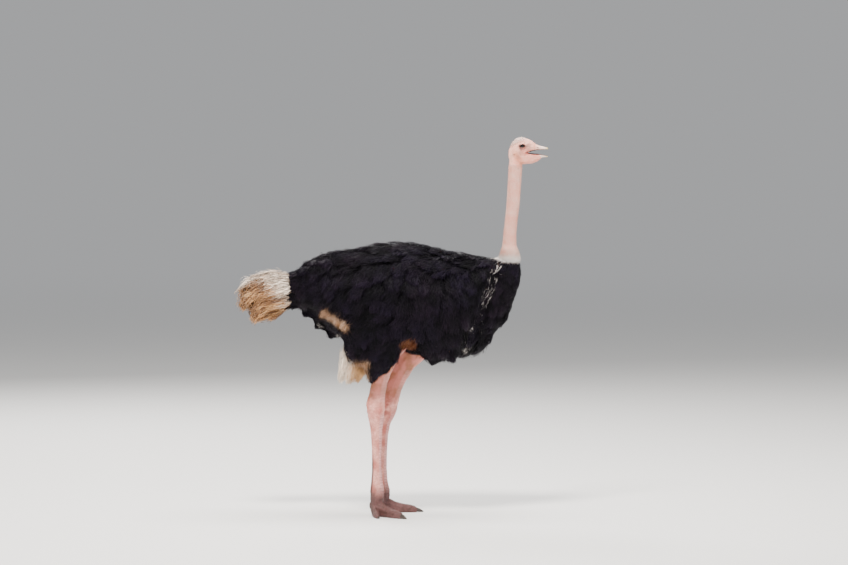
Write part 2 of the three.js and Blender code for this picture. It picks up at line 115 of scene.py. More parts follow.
# Smooth noise from -1 to 1 with lumps of the given size.
def softNoise(points, size, seed=0):
    scaled = np.asarray(points, float) / size
    cell = np.floor(scaled).astype(np.int64)
    share = scaled - cell
    share = share * share * (3 - 2 * share)
    total = np.zeros(scaled.shape[:-1])
    for corner in range(8):
        step = np.array((corner & 1, corner >> 1 & 1, corner >> 2 & 1))
        weight = np.prod(np.where(step, share, 1 - share), axis=-1)
        total += weight * latticeValue(cell + step, seed)
    return total * 2 - 1


def linked(name, mesh):
    shape = bpy.data.objects.new(name, mesh)
    bpy.context.scene.collection.objects.link(shape)
    return shape


def meshFrom(name, points, triangles):
    mesh = bpy.data.meshes.new(name)
    mesh.vertices.add(len(points))
    mesh.vertices.foreach_set("co", np.asarray(points, np.float32).ravel())
    mesh.loops.add(len(triangles) * 3)
    mesh.loops.foreach_set("vertex_index", np.asarray(triangles, np.int32).ravel())
    mesh.polygons.add(len(triangles))
    mesh.polygons.foreach_set("loop_start", np.arange(0, len(triangles) * 3, 3, dtype=np.int32))
    mesh.update(calc_edges=True)
    mesh.shade_smooth()
    return mesh


def pointsOf(shape):
    points = np.empty(len(shape.data.vertices) * 3, np.float32)
    shape.data.vertices.foreach_get("co", points)
    return points.reshape(-1, 3).astype(float)


def setPoints(shape, points):
    shape.data.vertices.foreach_set("co", np.asarray(points, np.float32).ravel())
    shape.data.update()


def normalsOf(shape):
    normals = np.empty(len(shape.data.vertices) * 3, np.float32)
    shape.data.vertex_normals.foreach_get("vector", normals)
    return normals.reshape(-1, 3).astype(float)


def trianglesOf(shape):
    shape.data.calc_loop_triangles()
    triangles = np.empty(len(shape.data.loop_triangles) * 3, np.int32)
    shape.data.loop_triangles.foreach_get("vertices", triangles)
    return triangles.reshape(-1, 3)


def edgesOf(shape):
    edges = np.empty(len(shape.data.edges) * 2, np.int32)
    shape.data.edges.foreach_get("vertices", edges)
    return edges.reshape(-1, 2)


def neighbourMean(values, edges, count):
    a, b = edges[:, 0], edges[:, 1]
    size = len(values)
    sums = [np.bincount(a, values[b, k], size) + np.bincount(b, values[a, k], size) for k in range(3)]
    return np.stack(sums, axis=1) / np.maximum(count, 1)[:, None]


# Averages each value with its neighbours over the mesh.
def blurred(values, edges, rounds):
    count = np.bincount(edges.ravel(), minlength=len(values)).astype(float)
    for _ in range(rounds):
        values = (values + neighbourMean(values, edges, count)) / 2
    return values


# Smooths away flats and corners without shrinking: each inward step is followed by one outward.
def relaxed(points, edges, rounds, share=1.0):
    count = np.bincount(edges.ravel(), minlength=len(points)).astype(float)
    share = np.broadcast_to(share, len(points))[:, None]
    for _ in range(rounds):
        for step in (0.62, -0.65):
            points = points + (neighbourMean(points, edges, count) - points) * step * share
    return points


def settled(shape):
    graph = bpy.context.evaluated_depsgraph_get()
    mesh = bpy.data.meshes.new_from_object(shape.evaluated_get(graph))
    shape.modifiers.clear()
    shape.data = mesh
    return shape


def removed(*shapes):
    for shape in shapes:
        bpy.data.objects.remove(shape)


# One mesh out of several frame nodes, each swollen a little so that neighbours overlap.
def joinedNodes(name, names, swell=0.0004):
    whole = bmesh.new()
    for nodeName in names:
        part = bmesh.new()
        part.from_mesh(nodes[nodeName].data)
        bmesh.ops.remove_doubles(part, verts=part.verts, dist=1e-5)
        part.normal_update()
        for vertex in part.verts:
            vertex.co += vertex.normal * swell
        mesh = bpy.data.meshes.new(nodeName + "Part")
        part.to_mesh(mesh)
        whole.from_mesh(mesh)
        part.free()
        bpy.data.meshes.remove(mesh)
    mesh = bpy.data.meshes.new(name)
    whole.to_mesh(mesh)
    whole.free()
    return linked(name, mesh)


def remeshed(shape, voxel, rounds=0):
    remesh = shape.modifiers.new("remesh", "REMESH")
    remesh.mode = "VOXEL"
    remesh.voxel_size = voxel
    if rounds:
        smooth = shape.modifiers.new("smooth", "SMOOTH")
        smooth.factor = 0.5
        smooth.iterations = rounds
    return settled(shape)


# Fewer faces where `share` of the vertex is high.
def thinned(shape, share, ratio):
    group = shape.vertex_groups.new(name="thin")
    for level in (0.25, 0.5, 0.75, 1.0):
        chosen = np.nonzero(share >= level)[0]
        group.add(chosen.tolist(), level, "REPLACE")
    decimate = shape.modifiers.new("thin", "DECIMATE")
    decimate.ratio = ratio
    decimate.vertex_group = "thin"
    settled(shape)
    shape.vertex_groups.clear()
    return shape


def united(base, others):
    for other in others:
        join = base.modifiers.new("join", "BOOLEAN")
        join.operation = "UNION"
        join.solver = "MANIFOLD"
        join.object = other
    settled(base)
    removed(*others)
    return base


def treeOf(shape):
    return BVHTree.FromPolygons(pointsOf(shape).tolist(), trianglesOf(shape).tolist())


# Nearest points on a surface, with the surface's normals there and the distances.
def nearestOn(tree, points):
    found = [tree.find_nearest(Vector(p)) for p in points.tolist()]
    places = np.array([hit[0] for hit in found])
    normals = np.array([hit[1] for hit in found])
    return places, normals, np.array([hit[3] for hit in found])


# Forms: the outline of the coat, and the skin inside it.
formPlan = {
    "coatVoxel": 0.012,
    "coreVoxel": 0.015,
    "tipRoom": 0.008,
    "bridge": 0.032,  # half width of the notches that the coat closes
    "coatDepth": 0.056,  # from the outline of the body feathers to the skin
    "rumpDepth": 0.024,  # the same, under the thin rear edge
    "collarDepth": 0.009,
    "headVoxel": 0.0017,
    "neckRatio": 0.42,
    "legVoxel": 0.0029,
    "legRatio": 0.5,
}

plumedNodes = ["trunk", "neck_base", "wing_right", "wing_left", "flank_right", "flank_left"]
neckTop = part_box("neck_upper")[1].z


def eyeCentre(side):
    low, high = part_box("eye_" + side)
    return np.array((low + high) / 2), (high.z - low.z) / 2


# One smooth form round several nodes: narrow notches between them are closed, and the whole is
# drawn in by `depth`, one value or one for each point.
def closedForm(name, names, voxel, rounds, bridge, depthOf):
    form = remeshed(joinedNodes(name, names, bridge), voxel, rounds)
    points = pointsOf(form)
    normals = unit(blurred(normalsOf(form), edgesOf(form), 3))
    setPoints(form, points - normals * (bridge + depthOf(points))[:, None])
    return form


# The same form before it is drawn in: a smooth shell at a known distance from the outline.
def shellRound(names, voxel, rounds, bridge):
    shell = remeshed(joinedNodes("shell", names, bridge), voxel, rounds)
    tree = treeOf(shell)
    removed(shell)
    return tree


# The outline that the plumes lie on, a little inside their tips.
def makeCoatForm():
    return closedForm("coatForm", plumedNodes, formPlan["coatVoxel"], 2, formPlan["bridge"],
                      lambda points: np.full(len(points), formPlan["tipRoom"]))


# The plucked body: the outline drawn in by the depth of the feathers.
def makeCore():
    def depthOf(points):
        onNeck = ramp(points[:, 2], 1.30, 1.56) * ramp(points[:, 0], 0.50, 0.62)
        onRump = ramp(-points[:, 0], 0.20, 0.32) * (1 - ramp(points[:, 2], 1.28, 1.42))
        depth = mixed(formPlan["coatDepth"], formPlan["rumpDepth"], onRump)
        return mixed(depth, formPlan["collarDepth"], onNeck)
    names = ["trunk", "neck_base", "wing_right", "wing_left", "neck_lower"]
    core = closedForm("core", names, formPlan["coreVoxel"], 6, formPlan["bridge"], depthOf)
    return remeshed(core, formPlan["coreVoxel"], 8)


def softBump(local, centre, radius):
    away = np.linalg.norm(local - np.array(centre), axis=1) / radius
    return np.exp(-away ** 2)


def softRidge(local, start, end, radius):
    start, end = np.array(start, float), np.array(end, float)
    along = end - start
    share = np.clip(((local - start) @ along) / (along @ along), 0, 1)
    away = np.linalg.norm(local - start - share[:, None] * along, axis=1) / radius
    return np.exp(-away ** 2)


# Relief of the face, in millimetres from the eye's centre: x ahead, y out, z up.
facePlan = {
    "bumps": [
        # centre, radius, height
        ((32, 24, -3), 10, -2.2),  # lore, the hollow in front of the eye
        ((6, 34, -27), 12, -1.4),  # hollow under the eye
        ((-16, 36, -46), 17, 1.8),  # cheek
        ((-47, 33, -53), 4.0, -5.0),  # ear opening
        ((-24, 34, 6), 10, -0.9),  # temple
        ((28, 6, 44), 14, -1.4),  # forehead, in front of the crown
    ],
    "ridges": [
        # start, end, radius, height
        ((-24, 33, 19), (27, 27, 19), 6.5, 3.0),  # brow
        ((-20, 36, -20), (22, 33, -22), 5.0, 1.0),  # pouch under the lower lid
        ((22, 30, -36), (60, 22, -35), 3.0, 1.2),  # upper lip
        ((22, 30, -44), (58, 22, -48), 3.0, 1.0),  # lower lip
        ((-54, 30, -46), (-44, 33, -62), 3.0, 1.4),  # rim behind the ear
        ((-40, 33, -46), (-38, 34, -60), 2.5, 1.0),  # rim before the ear
        ((20, 4, -76), (70, 4, -62), 6.0, 1.0),  # fold under the chin
        ((2, 36, -44), (20, 32, -40), 2.6, -0.9),  # crease behind the corner of the mouth
    ],
    "shades": [
        # centre, radius, strength
        # the ear opening's dark spot is painted shade in the hollow
        ((-47, 33, -53), 4.5, 0.75),  # ear
        ((-22, 39, -66), 15.0, 0.22),  # feathers below the ear
        ((-21, 32, -140), 4.0, 0.45),  # dark speck on the neck
    ],
    "tans": [((-42, 36, -48), (0, 24, -112), 19.0, 0.60)],
    "pinks": [((2, 36, -24), (34, 33, -36), 12.0, 0.7), ((26, 32, -50), (86, 20, -50), 12.0, 0.6)],
}

lidPlan = {
    "halfLength": 17.5,
    "upper": 10.5,  # half heights of the opening
    "lower": 8.5,
    "thick": 1.9,
    "rim": 0.7,
    "snap": 0.62,  # how near the mesh is drawn to the edge of the opening
    "deep": 4.5,  # the socket's floor below the eyeball's surface
    "fade": (7.0, 19.0),
    "hood": 0.9,  # fold over the upper lid
    "creases": [(5.6, 1.1, 1.5), (9.6, 1.2, 1.0), (13.5, 1.5, 0.8)],  # distance, width, depth
}

# The open mouth, seen from the side: its corner, and the slope of the line midway between the bills.
gape = {"corner": (0.8284, 2.270), "slope": 0.02}


# The head stands a little off the frame's middle: its left half serves for both sides.
middleY = (eyeCentre("left")[0][1] + eyeCentre("right")[0][1]) / 2


def onLeft(points):
    return np.stack((points[:, 0], np.abs(points[:, 1] - middleY) + middleY, points[:, 2]), axis=1)


# Axes of the left eye: out through the pupil, ahead along the opening, and above.
def eyeAxes():
    outward = unit(np.array((0.16, 1.0, 0.06)))
    ahead = unit(np.cross(outward, (0.0, 0.05, 1.0)))
    above = np.cross(ahead, outward)
    return outward, ahead * np.sign(ahead[0]), above * np.sign(above[2])


# Place round the nearer eye, in millimetres: u ahead and v up on the ball, and the distance
# outside the edge of the opening.
def lidPlaces(points):
    centre, radius = eyeCentre("left")
    relative = (onLeft(points) - centre) * 1000
    ball = radius * 1000
    outward, ahead, above = eyeAxes()
    facing = unit(relative)
    u, v = facing @ ahead * ball, facing @ above * ball
    tall = np.where(v > 0, lidPlan["upper"], lidPlan["lower"])
    share = np.hypot(u / lidPlan["halfLength"], v / tall)
    flat = np.maximum(np.hypot(u, v), 1e-6)
    distance = (share - 1) * np.where(share > 1e-6, flat / np.maximum(share, 1e-6), tall)
    reach = np.linalg.norm(relative, axis=1)
    front = (facing @ outward > 0.12) & (reach < ball * 2.1)
    return {"facing": facing, "u": u, "v": v, "flat": flat, "distance": distance,
            "reach": reach, "front": front}


# Lids: skin lies on the eyeball round an almond opening, and drops behind the ball inside it.
def sculptLids(points):
    centre, radius = eyeCentre("left")
    ball = radius * 1000
    at = lidPlaces(points)
    distance, front = at["distance"], at["front"]
    _, ahead, above = eyeAxes()
    shift = np.where(front & (np.abs(distance) < lidPlan["snap"]), -distance, 0.0)
    slideAhead = ahead * (at["u"] / at["flat"] * shift)[:, None]
    slide = slideAhead + above * (at["v"] / at["flat"] * shift)[:, None]
    facing = unit(at["facing"] * ball + slide)
    inside = distance < -lidPlan["snap"]
    crease = sum(deep * np.exp(-((distance - off) / wide) ** 2) for off, wide, deep in lidPlan["creases"])
    lid = ball + lidPlan["thick"] + lidPlan["rim"] * np.exp(-(distance / 1.8) ** 2)
    lid += np.where(at["v"] > 0, lidPlan["hood"] * np.exp(-((distance - 2.6) / 2.2) ** 2), 0)
    fade = ramp(distance, *lidPlan["fade"])
    outer = mixed(lid, np.maximum(at["reach"], ball * 0.6), fade) - crease * (1 - fade * 0.5)
    target = np.where(inside, ball - lidPlan["deep"], outer)
    moved = facing * target[:, None] / 1000 + centre
    moved[:, 1] = middleY + (moved[:, 1] - middleY) * np.sign(points[:, 1] - middleY)
    return np.where(front[:, None], moved, points)


def faceLocal(points):
    return (onLeft(points) - (eyeCentre("left")[0] * (1, 0, 1) + (0, middleY, 0))) * 1000


def sculptFace(points, normals):
    local = faceLocal(points)
    push = np.zeros(len(points))
    for place, size, height in facePlan["bumps"]:
        push += height * softBump(local, place, size)
    for start, end, size, height in facePlan["ridges"]:
        push += height * softRidge(local, start, end, size)
    wrinkles = softNoise(points * (1.0, 1.0, 2.2), 0.006, 3) * 0.35 + softNoise(points, 0.0024, 4) * 0.14
    onHead = ramp(points[:, 2], neckTop - 0.03, neckTop + 0.03)
    points = points + normals * ((push + wrinkles) * onHead / 1000)[:, None]
    return sculptLids(points)


def ridgeSum(local, ridges):
    return sum(height * softRidge(local, start, end, size) for start, end, size, height in ridges)


# Brown shade of the face, tan of the throat and pink round the mouth, by place. Skin and feathers
# both read it.
def faceMarks(points):
    local = faceLocal(points)
    at = lidPlaces(points)
    away = np.maximum(at["distance"], 0)
    facing = ramp(at["facing"] @ eyeAxes()[0], 0.02, 0.42)
    ring = 0.88 * np.exp(-(away / 3.6) ** 2)
    behind = 0.72 * np.exp(-((away - 4.5) / 8.0) ** 2) * ramp(-at["u"] - 0.4 * at["v"], -2, 14)
    ahead = 0.32 * np.exp(-((away - 6) / 6.0) ** 2) * ramp(at["u"], 4, 16)
    # above the upper lid, under the brow: painted shade
    over = 0.32 * np.exp(-((away - 5) / 3.0) ** 2) * ramp(at["v"], 1, 9)
    shade = np.maximum.reduce((ring, behind, ahead, over)) * facing * (at["reach"] < 60)
    for place, size, height in facePlan["shades"]:
        shade = np.maximum(shade, height * softBump(local, place, size))
    throat = ridgeSum(local, facePlan["tans"])
    pink = ridgeSum(local, facePlan["pinks"])
    rough = softNoise(points, 0.005, 5) * 0.25 + 1
    return np.clip(shade * rough, 0, 1), np.clip(throat * rough, 0, 1), np.clip(pink * rough, 0, 1)


# Depth inside the open mouth: the faces that look into the gape.
def mouthDepth(points, normals):
    x, z = (points[:, 0] - gape["corner"][0]) * 1000, (points[:, 2] - gape["corner"][1]) * 1000
    above = z > x * gape["slope"]
    facing = np.where(above, -normals[:, 2], normals[:, 2])
    inWedge = (x > -6) & (np.abs(z - x * gape["slope"]) < 7 + 0.17 * np.maximum(x, 0))
    corner = ramp(normals[:, 0], 0.2, 0.6) * (np.abs(x) < 9) * (1 - ramp(np.abs(z), 3.0, 5.5))
    return np.maximum(ramp(facing, 0.35, 0.75) * inWedge, corner)


def finerNearEyes(shape):
    mesh = bmesh.new()
    mesh.from_mesh(shape.data)
    for side in sides:
        centre, radius = eyeCentre(side)
        outer = centre[1] + sides[side] * radius * 0.25
        near = {v for v in mesh.verts if (v.co - Vector(centre)).length < radius * 1.5
                and (v.co.y - outer) * sides[side] > 0}
        edges = [e for e in mesh.edges if e.verts[0] in near and e.verts[1] in near]
        bmesh.ops.subdivide_edges(mesh, edges=edges, cuts=1, use_grid_fill=True)
    mesh.to_mesh(shape.data)
    mesh.free()


# Draws the flesh in under its horn, from nothing at the horn's root.
def insetUnder(shape, horns, flesh, depth):
    points = pointsOf(shape)
    onHorn = np.min([nearestOn(treeOf(nodes[name]), points)[2] for name in horns], axis=0)
    fromFlesh = np.min([nearestOn(treeOf(nodes[name]), points)[2] for name in flesh], axis=0)
    inset = depth * (1 - ramp(onHorn, 0.001, 0.0022)) * ramp(fromFlesh, 0.0005, 0.006)
    setPoints(shape, points - normalsOf(shape) * inset[:, None])


def makeHeadAndNeck():
    bills = ["bill_upper", "bill_lower"]
    names = ["head", "neck_upper", "neck_lower", "eye_right", "eye_left"] + bills
    shape = remeshed(joinedNodes("neckAndHead", names), formPlan["headVoxel"], 1)
    points = pointsOf(shape)
    cornerX, cornerZ = gape["corner"]
    inGape = ramp(points[:, 0], cornerX - 0.012, cornerX + 0.008)
    inGape *= ramp(points[:, 2], cornerZ - 0.036, cornerZ - 0.020)
    inGape *= 1 - ramp(points[:, 2], cornerZ + 0.022, cornerZ + 0.034)
    points = relaxed(points, edgesOf(shape), 40, 1 - inGape)
    setPoints(shape, relaxed(points, edgesOf(shape), 9))
    insetUnder(shape, bills, ["head"], 0.0018)
    finerNearEyes(shape)
    points = pointsOf(shape)
    # the windpipe and muscles of the neck, and the slack skin across it
    onNeck = 1 - ramp(points[:, 2], neckTop - 0.05, neckTop + 0.01)
    cords = softNoise(points * (1, 1, 0.12), 0.011, 11) * 1.3
    folds = cords + softNoise(points * (1, 1, 3.5), 0.02, 12) * 0.8
    setPoints(shape, points + normalsOf(shape) * (folds * onNeck * 0.001)[:, None])
    points = sculptFace(pointsOf(shape), normalsOf(shape))
    setPoints(shape, points)
    return thinned(shape, 1 - ramp(points[:, 2], neckTop - 0.05, neckTop - 0.01), formPlan["neckRatio"])


legPlan = {
    "scutePitch": 0.0175,
    "scuteHeight": 0.0030,
    "toePitch": 0.0125,
    "toeHeight": 0.0024,
    "hipRadii": (0.10, 0.062, 0.17),
}


def makeLeg(side):
    flesh = [part + side for part in ("drumstick_", "shank_", "foot_", "toe_main_", "toe_outer_")]
    claws = ["claw_main_" + side, "claw_outer_" + side]
    leg = joinedNodes("leg_" + side, flesh + claws)
    upper = pointsOf(nodes["drumstick_" + side])
    hip = upper[upper[:, 2] > 0.98].mean(axis=0)
    ball = bmesh.new()
    bmesh.ops.create_icosphere(ball, subdivisions=4, radius=1.0)
    ball.verts.ensure_lookup_table()
    for vertex in ball.verts:
        vertex.co = Vector(hip + np.array(vertex.co) * legPlan["hipRadii"] + (0, 0, 0.09))
    mesh = bpy.data.meshes.new("hip")
    ball.from_mesh(leg.data)
    ball.to_mesh(mesh)
    ball.free()
    leg.data = mesh
    remeshed(leg, formPlan["legVoxel"], 1)
    setPoints(leg, relaxed(pointsOf(leg), edgesOf(leg), 26))
    insetUnder(leg, claws, flesh[3:], 0.0022)
    setPoints(leg, sculptLeg(pointsOf(leg), normalsOf(leg)))
    points = pointsOf(leg)
    return thinned(leg, ramp(points[:, 2], 0.64, 0.74), formPlan["legRatio"])


# Overlapping plates: where along their row each point lies, counted in plates, and how strong they are.
def plateRows(points, normals):
    z = points[:, 2]
    wobble = softNoise(points * (1, 0.4, 1), 0.03, 21) * 0.2
    front = ramp(normals[:, 0], 0.15, 0.62)
    onShank = ramp(z, 0.10, 0.14) * (1 - ramp(z, 0.60, 0.66))
    onThigh = ramp(z, 0.70, 0.75) * (1 - ramp(z, 0.90, 1.0)) * 0.5
    run = z / legPlan["scutePitch"] + wobble
    share = front * np.maximum(onShank, onThigh)
    onFoot = (1 - ramp(z, 0.085, 0.12)) * ramp(normals[:, 2], 0.0, 0.4)
    for claw in [kind + side for kind in ("main_", "outer_") for side in sides]:
        toeLow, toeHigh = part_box("toe_" + claw)
        clawLow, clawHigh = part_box("claw_" + claw)
        middle = np.array((toeLow + toeHigh) / 2)
        ahead = unit((np.array((clawLow + clawHigh) / 2) - middle) * (1, 1, 0))
        along = (points - middle) @ ahead
        across = np.abs((points - middle) @ np.array((-ahead[1], ahead[0], 0)))
        here = onFoot * (1 - ramp(across, 0.022, 0.032)) * (1 - ramp(np.abs(along), 0.10, 0.14))
        better = here > share
        run = np.where(better, along / legPlan["toePitch"] + wobble, run)
        share = np.where(better, here, share)
    return run, share


# A plate rises to a lip and ends in a sharp groove.
def plateLift(run):
    phase = np.mod(run, 1.0)
    return ramp(phase, 0.0, 0.3) * (1.0 - 0.35 * phase)


def sculptLeg(points, normals):
    z = points[:, 2]
    run, share = plateRows(points, normals)
    tall = np.where(z > 0.105, legPlan["scuteHeight"], legPlan["toeHeight"])
    plate = (plateLift(run) - 0.4) * tall * share
    # slack skin round the hock and over the drumstick, tendons behind the shank
    hock = np.exp(-((z - 0.675) / 0.075) ** 2)
    folds = softNoise(points * (1, 1, 2.6), 0.018, 22) * 0.0024 * hock
    knobs = softNoise(points, 0.034, 27) * 0.0035 * hock
    thigh = ramp(z, 0.66, 0.80)
    muscle = softNoise(points * (1, 1, 0.3), 0.05, 23) * 0.0045 * thigh
    tendon = softNoise(points * (1, 1, 0.08), 0.016, 26) * 0.0016 * (1 - thigh) * ramp(z, 0.12, 0.2)
    wrinkles = softNoise(points * (0.6, 0.6, 3.4), 0.012, 28) * 0.0009 * ramp(z, 0.62, 0.8)
    fine = softNoise(points, 0.007, 24) * 0.0005
    moved = points + normals * (plate + folds + knobs + muscle + tendon + wrinkles + fine)[:, None]
    moved[:, 2] = np.where(z < 0.004, np.maximum(z, 0.0), np.maximum(moved[:, 2], 0.0))
    return moved


coatForm = makeCoatForm()
print("coat outline: %d faces" % len(coatForm.data.polygons))
skin = makeCore()
skin.name = "skin"
headAndNeck = makeHeadAndNeck()
print("head and neck: %d faces" % len(headAndNeck.data.polygons))
legs = [makeLeg(side) for side in sides]
print("legs: %d faces" % sum(len(leg.data.polygons) for leg in legs))
united(skin, [headAndNeck] + legs)
skin.data.shade_smooth()
print("skin: %d triangles" % len(trianglesOf(skin)))


# Shader nodes.
def add(tree, kind, settings=None, inputs=None):
    made = tree.nodes.new("ShaderNode" + kind)
    for key, value in (settings or {}).items():
        setattr(made, key, value)
    for key, value in (inputs or {}).items():
        if isinstance(value, bpy.types.NodeSocket):
            tree.links.new(value, made.inputs[key])
        elif isinstance(value, tuple) and len(value) == 3 and made.inputs[key].type == "RGBA":
            made.inputs[key].default_value = (*value, 1)
        else:
            made.inputs[key].default_value = value
    return made


def newGroup(name, inputs, outputs):
    group = bpy.data.node_groups.new(name, "ShaderNodeTree")
    for label, kind, value in inputs:
        socket = group.interface.new_socket(label, in_out="INPUT", socket_type="NodeSocket" + kind)
        if value is not None:
            socket.default_value = value
    for label, kind in outputs:
        group.interface.new_socket(label, in_out="OUTPUT", socket_type="NodeSocket" + kind)
    return group, group.nodes.new("NodeGroupInput"), group.nodes.new("NodeGroupOutput")


def math2(tree, operation, a, b):
    return add(tree, "Math", {"operation": operation}, {0: a, 1: b}).outputs[0]


def times(tree, a, b):
    return math2(tree, "MULTIPLY", a, b)


def plus(tree, a, b):
    return math2(tree, "ADD", a, b)


def minus(tree, a, b):
    return math2(tree, "SUBTRACT", a, b)


def stepped(tree, value, start, end):
    node = add(tree, "MapRange", {"interpolation_type": "SMOOTHSTEP"},
               {"Value": value, "From Min": start, "From Max": end})
    return node.outputs["Result"]


def mixColour(tree, share, a, b):
    node = add(tree, "Mix", {"data_type": "RGBA"}, {0: share, 6: a, 7: b})
    return node.outputs[2]


# Colours laid over the first one, each through its own mask.
def layered(tree, colour, *layers):
    for share, over in layers:
        colour = mixColour(tree, share, colour, over)
    return colour


def noise(tree, place, scale, detail=3.0):
    return add(tree, "TexNoise", None, {"Vector": place, "Scale": scale, "Detail": detail}).outputs["Fac"]


# Room and light.
roomPlan = {
    "paper": (0.80, 0.80, 0.79),
    "horizon": (0.83, 0.84, 0.86),
    "ambient": 0.50,
    "floorRadius": 320.0,
    "fade": (9.0, 34.0),
    "lights": {
        # name: place, aim, size, watts, colour
        "key": ((-1.8, -6.0, 10.0), (0.1, 0, 1.3), 2.6, 2550, (1.0, 0.945, 0.88)),
        "fill": ((7.0, -9.0, 4.0), (0.1, 0, 1.2), 5.0, 300, (0.93, 0.95, 1.0)),
        "rim": ((-3.0, 7.5, 6.5), (0.0, 0, 1.4), 4.0, 950, (1.0, 0.97, 0.94)),
        "top": ((0.5, 0.5, 7.5), (0.1, 0, 1.0), 4.0, 700, (1.0, 0.96, 0.92)),
    },
}


# Paper that fades far away into the colour of the horizon.
def makeFloorPaper(plan):
    paper = bpy.data.materials.new("floorPaper")
    paper.use_nodes = True
    tree = paper.node_tree
    tree.nodes.clear()
    spot = add(tree, "NewGeometry").outputs["Position"]
    away = add(tree, "VectorMath", {"operation": "LENGTH"}, {0: spot}).outputs["Value"]
    diffuse = add(tree, "BsdfDiffuse", None, {"Color": plan["paper"]}).outputs[0]
    glow = add(tree, "Emission", None, {"Color": plan["horizon"], "Strength": plan["ambient"]}).outputs[0]
    mix = add(tree, "MixShader", None, {0: stepped(tree, away, *plan["fade"]), 1: diffuse, 2: glow})
    add(tree, "OutputMaterial", None, {"Surface": mix.outputs[0]})
    return paper


def makeRoom(plan):
    world = bpy.data.worlds.new("room")
    bpy.context.scene.world = world
    world.use_nodes = True
    background = world.node_tree.nodes["Background"]
    background.inputs["Color"].default_value = (*plan["horizon"], 1)
    background.inputs["Strength"].default_value = plan["ambient"]
    disc = bmesh.new()
    bmesh.ops.create_circle(disc, cap_ends=True, radius=plan["floorRadius"], segments=96)
    mesh = bpy.data.meshes.new("floor")
    disc.to_mesh(mesh)
    disc.free()
    mesh.materials.append(makeFloorPaper(plan))
    floor = linked("floor", mesh)
    for name, (place, aim, size, watts, colour) in plan["lights"].items():
        data = bpy.data.lights.new(name, "AREA")
        data.shape = "DISK"
        data.size = size
        data.energy = watts
        data.color = colour
        light = linked(name, data)
        light.location = place
        light.rotation_mode = "QUATERNION"
        light.rotation_quaternion = (Vector(aim) - Vector(place)).to_track_quat("-Z", "Y")


makeRoom(roomPlan)


# Where the bird is pale, bare, tan or rusty. Both skin and coat read it, by place.
markPlan = {
    "collar": 1.600,
    "collarWhite": (1.665, 1.622),  # levels between which the down turns white
    "crownWhite": (2.325, 2.352),
    "neckRear": 0.60,
    "bareThigh": (1.10, 1.00),
    "legTop": 0.66,
    "ankle": 0.165,
    # patches are start, end and half width, in the plane of the bird's side
    "streaks": [
        # the same, and the share of the feathers that are pale
        ((0.664, 1.590), (0.610, 1.450), 0.026, 0.07),
        ((0.618, 1.470), (0.562, 1.335), 0.027, 0.09),
        ((0.445, 1.09), (0.56, 1.24), 0.034, 0.022),
    ],
    "breastTip": ((0.440, 1.036), (0.456, 1.030), 0.010),
    "rearTips": (((-0.470, 1.190), (-0.440, 1.170), 0.007), ((-0.350, 1.125), (-0.335, 1.115), 0.007)),
    "tan": ((-0.436, 1.270), (-0.300, 1.184), 0.022),
    "tipShare": 0.4,
    "rust": ((0.073, 1.072), (0.110, 1.072), 0.031),
    "rustSide": 0.08,
}


def patch(group, x, z, wobble, plan):
    start, end, half = plan
    alongX, alongZ = end[0] - start[0], end[1] - start[1]
    length = math.hypot(alongX, alongZ)
    dirX, dirZ = alongX / length, alongZ / length
    dx = minus(group, x, start[0])
    dz = minus(group, z, start[1])
    run = plus(group, times(group, dx, dirX), times(group, dz, dirZ))
    off = minus(group, times(group, dx, dirZ), times(group, dz, dirX))
    within = math2(group, "MAXIMUM", 0.0, math2(group, "MINIMUM", run, length))
    beyond = minus(group, run, within)
    squares = plus(group, times(group, off, off), times(group, beyond, beyond))
    away = math2(group, "SQRT", squares, 0.0)
    wavy = plus(group, away, times(group, wobble, half * 1.1))
    return stepped(group, wavy, half * 1.25, half * 0.8)


def makeMarkings(plan):
    outputs = ["Pale", "Streak", "Tan", "Rust", "Leg", "Foot"]
    group, given, out = newGroup("birdMarkings", [("Place", "Vector", None)],
                                 [(label, "Float") for label in outputs])
    place = given.outputs["Place"]
    split = add(group, "SeparateXYZ", None, {0: place})
    x, z = split.outputs["X"], split.outputs["Z"]
    wobble = minus(group, noise(group, place, 24.0), 0.5)
    level = plus(group, z, times(group, wobble, 0.035))
    pale = stepped(group, level, plan["collar"] - 0.006, plan["collar"] + 0.006)
    pale = times(group, pale, stepped(group, x, plan["neckRear"] - 0.01, plan["neckRear"] + 0.01))
    group.links.new(pale, out.inputs["Pale"])
    broken = stepped(group, noise(group, place, 60.0, 1.0), 0.44, 0.54)
    streaks = 0.0
    for start, end, half, share in plan["streaks"]:
        one = times(group, patch(group, x, z, wobble, (start, end, half)), min(share * 4, 1.0))
        streaks = math2(group, "MAXIMUM", streaks, one)
    group.links.new(times(group, streaks, broken), out.inputs["Streak"])
    group.links.new(patch(group, x, z, wobble, plan["tan"]), out.inputs["Tan"])
    group.links.new(patch(group, x, z, wobble, plan["rust"]), out.inputs["Rust"])
    group.links.new(stepped(group, level, plan["legTop"] + 0.05, plan["legTop"] - 0.03), out.inputs["Leg"])
    group.links.new(stepped(group, level, plan["ankle"] + 0.05, plan["ankle"] - 0.06), out.inputs["Foot"])
    return group


# Uneven tone: broad patches and fine specks.
def makeMottle():
    group, given, out = newGroup("mottle", [("Place", "Vector", None), ("Scale", "Float", 10.0)],
                                 [("Broad", "Float"), ("Fine", "Float")])
    place, scale = given.outputs["Place"], given.outputs["Scale"]
    group.links.new(stepped(group, noise(group, place, scale, 2.0), 0.35, 0.65), out.inputs["Broad"])
    fine = times(group, scale, 9.0)
    group.links.new(stepped(group, noise(group, place, fine, 4.0), 0.35, 0.65), out.inputs["Fine"])
    return group


